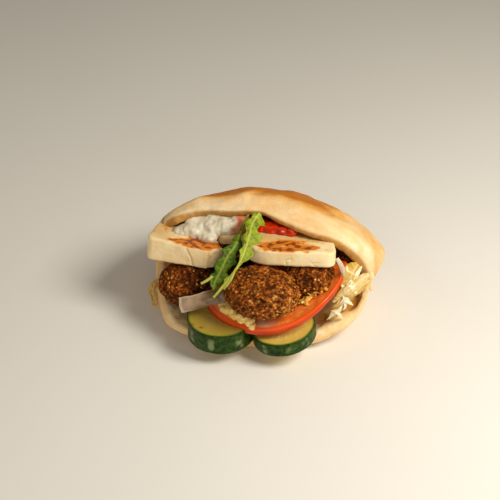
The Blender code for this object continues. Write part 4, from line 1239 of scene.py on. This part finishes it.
# %% The torn corner
line = ((64.9, 0, 39.2), (65.9, 0, 34.2), (66.0, 0.5, 28.7), (66.7, 1, 23.3))
half = (1.2, 1.9, 1.7, 1.9, 1.5, 1.6, 1.2, 1.7, 0.8)
points, faces, _, _ = blade(line, half, half, 1.8, facing=(0.5, -0.7, 0.5), rows=70, columns=11, ripple=0.8,
                            pitch=4, seed=12.0)
corner = make_piece("torn_corner", points, faces, bread, (),
                    {"crumb": np.ones(len(points)), "baked": np.full(len(points), -0.5)})
relief(corner.data, 0.35 * bumps(points, 2.2, 6.0))

# %% [markdown]
# ## Lettuce
# Iceberg cut into ribbons: pale yellow and crisp, white at the ribs, frilled where the leaf was thin.
# A heap simulated with cloth would never lie the same way twice, so the ribbons that show are laid
# one by one, each a blade with its own twist, and the heap behind them is the solid's own bed,
# melted smooth and crumpled.

# %% Finish of the lettuce
lettuce = Finish("lettuce", 0.30, soft=(0.3, 4), spread=(1.0, 0.9, 0.35), coat=(0.2, 0.2))
tone = lettuce.patches((0.70, 0.44, 0.105), (0.52, 0.31, 0.045), 6, 0.36, 0.68)
tone = lettuce.mix(lettuce.times(lettuce.step(lettuce.cloud(4, 3), 0.5, 0.75), 0.4), tone, (0.52, 0.42, 0.07))
tone = lettuce.mix(lettuce.times(lettuce.painted("vein"), 0.8), tone, (0.88, 0.70, 0.38))
tone = lettuce.mix(lettuce.times(lettuce.painted("white"), 0.8), tone, (1.0, 0.90, 0.62))
# painted shade: the bed inside the pocket and the leaf on the left are painted darker
tone = lettuce.mix(lettuce.painted("deep"), tone, (0.46, 0.27, 0.045))
lettuce.colour(tone)
lettuce.bump(lettuce.cloud(2.0, 3, 0.5), 0.2, 0.4)

# %% [markdown]
# The bed is the solid melted smooth and sunk a little, so that ribbons and bread cover it, and it gets
# painted shade. The ribbons lie before it on each other and on the bread, and the leaf on the left hangs
# out of the bread, with painted shade on it too.

# %% The bed and the ribbons
bed = bpy.data.meshes.new_from_object(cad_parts["lettuce"])
points, _ = points_of(bed)
faces = [tuple(p.vertices) for p in bed.polygons]
bpy.data.meshes.remove(bed)
mesh = voxel_mesh("lettuce_bed", points, faces, 1.0, 6)
points, _ = points_of(mesh)
heart = np.array((38, 4, 24))
points += (heart - points) * (0.42 * smooth_step((points[:, 0] - 34) / 14))[:, None]
move_points(mesh, points)
# painted shade on the bed
own_piece("lettuce_bed", mesh, lettuce, ["lettuce"], {"deep": np.full(len(points), 0.55)})
relief(mesh, rough(points, (0.9, 5, 1.0), (0.5, 2.4, 2.0)) - 1.1)

RIBBONS = (  # line, half widths on both sides, ripple, twist, and how white: 0 leaf, 1 rib
    (((54.4, -21, 35.9), (55.3, -17, 39.9), (56.9, -13.5, 45.1), (58.2, -4, 44.9)),
     (2.0, 4.6, 6.0, 5.8, 4.2, 2.0), (1.5, 3.2, 4.4, 4.6, 4.0, 2.0), 0.6, 0.2, 0.0),
    (((50.0, -22, 30.6), (55.0, -22, 36.7), (58.8, -17.5, 39.4), (62.0, -10.5, 39.1), (65.3, -4, 38.4)),
     (1.0, 2.0, 2.8, 3.0, 2.4, 2.6, 1.4), (1.2, 2.2, 2.6, 3.0, 2.6, 2.2, 1.2), 0.5, 0.15, 0.25),
    (((51.7, -24, 28.6), (55.7, -20, 30.9), (59.9, -17, 34.4), (62.8, -9, 34.1), (65.9, -4, 34.1)),
     (1.6, 2.6, 3.0, 2.8, 2.6, 1.4), (1.2, 2.0, 1.8, 2.4, 1.8, 1.0), 0.6, -0.2, 0.0),
    (((54.8, -19, 39.7), (57.2, -16, 41.7), (59.7, -12.5, 44.9), (60.9, -6, 45.0)),
     (0.6, 0.9, 1.1, 0.9, 0.5), (0.6, 0.9, 1.1, 0.9, 0.5), 0.2, 0.1, 1.0),
    (((51.5, -25.5, 29.6), (54.5, -25, 32.8), (56.8, -24.5, 32.4), (59.7, -23.5, 29.6)),
     (0.3, 1.0, 2.0, 0.9, 0.3), (0.3, 1.4, 1.2, 1.0, 0.3), 0.8, 0.3, 1.0),
    (((53.6, -24, 35.6), (55.0, -24.5, 32.5), (55.5, -25.5, 29.6), (54.7, -26, 26.8)),
     (0.3, 1.2, 1.4, 0.9, 0.3), (0.3, 1.0, 1.4, 0.7, 0.3), 0.8, -0.3, 1.0),
    (((45.2, -25, 17.0), (49.0, -28, 23.9), (52.0, -27.5, 27.4), (54.1, -26, 30.4)),
     (0.5, 1.8, 1.4, 2.2, 0.9, 0.4), (0.5, 1.2, 1.8, 1.2, 1.2, 0.3), 0.8, 0.3, 0.8),
    (((47.8, -28, 26.7), (50.9, -28, 26.5), (52.9, -26, 22.8), (54.0, -23, 17.9)),
     (0.3, 1.1, 1.6, 0.9, 0.3), (0.3, 1.2, 1.2, 0.9, 0.3), 0.7, -0.3, 0.9),
    (((46.5, -23, 15.9), (49.5, -26, 22.9), (52.7, -25.5, 29.1), (55.0, -22, 33.7)),
     (1.0, 2.6, 3.6, 3.8, 3.0, 1.2), (0.8, 1.6, 2.2, 2.6, 2.4, 1.0), 0.8, 0.3, 0.0),
    (((48.3, -25, 30.9), (51.1, -24, 32.9), (53.4, -22, 36.4), (54.1, -18.5, 38.5)),
     (1.0, 2.2, 2.6, 2.2, 0.9), (0.8, 1.8, 2.2, 1.8, 0.8), 0.6, 0.2, 0.0),
)
for n, (line, half, other, ripple, twist, white) in enumerate(RIBBONS):
    facing = (0.55, -0.5, 0.67) if white > 0.7 else FACING
    points, faces, across, along = blade(line, half, other, 0.9, facing, 90, 17, ripple=1.3 * ripple, pitch=8,
                                         cup=0.06, vein=0.2, seed=2.0 + n, twist=twist)
    ribs = np.clip(veins(across, along, half, other, 6) + white, 0, 1)
    make_piece(f"lettuce_ribbon_{n + 1}", points, faces, lettuce, (),
               {"vein": ribs, "deep": 0 * across, "white": np.full(len(points), white)})
line = ((-60.8, -18, 22.4), (-62.2, -22, 19.4), (-61.5, -25, 16.8), (-59.5, -28, 13.4), (-56.3, -31, 10.1))
half, other = (0.6, 2.8, 1.8, 3.0, 1.4, 0.5), (0.6, 1.8, 2.8, 1.5, 2.2, 0.4)
points, faces, across, along = blade(line, half, other, 1.1, ripple=1.0, vein=0.3, seed=9.0)
# painted shade on the leaf that hangs out on the left
make_piece("lettuce_leaf_left", points, faces, lettuce, ["lettuce_left"],
           {"vein": veins(across, along, half, other, 5), "deep": 0 * across + 0.5})

# %% [markdown]
# ## Room and light
# Food looks best in one large soft light from the side, here from the right and a little in front,
# with a weak one opposite so that the shaded side keeps its colour. The floor is pale and plain.

# %% Floor, lights and surroundings
floor_finish = Finish("pale floor", 0.8)
floor_finish.colour(floor_finish.mix(floor_finish.cloud(120, 2), (0.80, 0.79, 0.77), (0.84, 0.83, 0.81)))
FLOOR_REACH, FLOOR_LEVEL = 2500, -0.3
corners = [(x * FLOOR_REACH, y * FLOOR_REACH, FLOOR_LEVEL) for x, y in ((-1, -1), (1, -1), (1, 1), (-1, 1))]
floor = bpy.data.meshes.new("floor")
floor.from_pydata(to_frame(corners).tolist(), [], [(0, 1, 2, 3)])
floor.materials.append(floor_finish.material)
floor = bpy.data.objects.new("floor", floor)
bpy.context.scene.collection.objects.link(floor)

LIGHTS = {  # place in metres, target in metres, size in metres, watts, colour
    "key": ((0.42, -0.10, 0.50), (0, 0, 0.03), 0.26, 4.0, (1.0, 0.93, 0.80)),
    "front": ((0.05, -0.65, 0.22), (0, 0, 0.03), 0.45, 0.8, (1.0, 0.95, 0.86)),
    "left": ((-0.55, -0.20, 0.40), (0, 0, 0.03), 0.50, 0.35, (1.0, 0.92, 0.78)),
}
for name, (place, target, size, watts, colour) in LIGHTS.items():
    lamp = bpy.data.lights.new(name, "AREA")
    lamp.size, lamp.energy, lamp.color = size, watts, colour
    lamp = bpy.data.objects.new(name, lamp)
    lamp.location = place
    lamp.rotation_mode = "QUATERNION"
    lamp.rotation_quaternion = (Vector(target) - Vector(place)).to_track_quat("-Z", "Y")
    bpy.context.scene.collection.objects.link(lamp)
world = bpy.data.worlds.new("room")
world.use_nodes = True
glow = world.node_tree.nodes["Background"]
glow.inputs["Color"].default_value = (1.0, 0.88, 0.70, 1.0)
glow.inputs["Strength"].default_value = 0.22
bpy.context.scene.world = world
bpy.context.scene.view_settings.view_transform = "Standard"
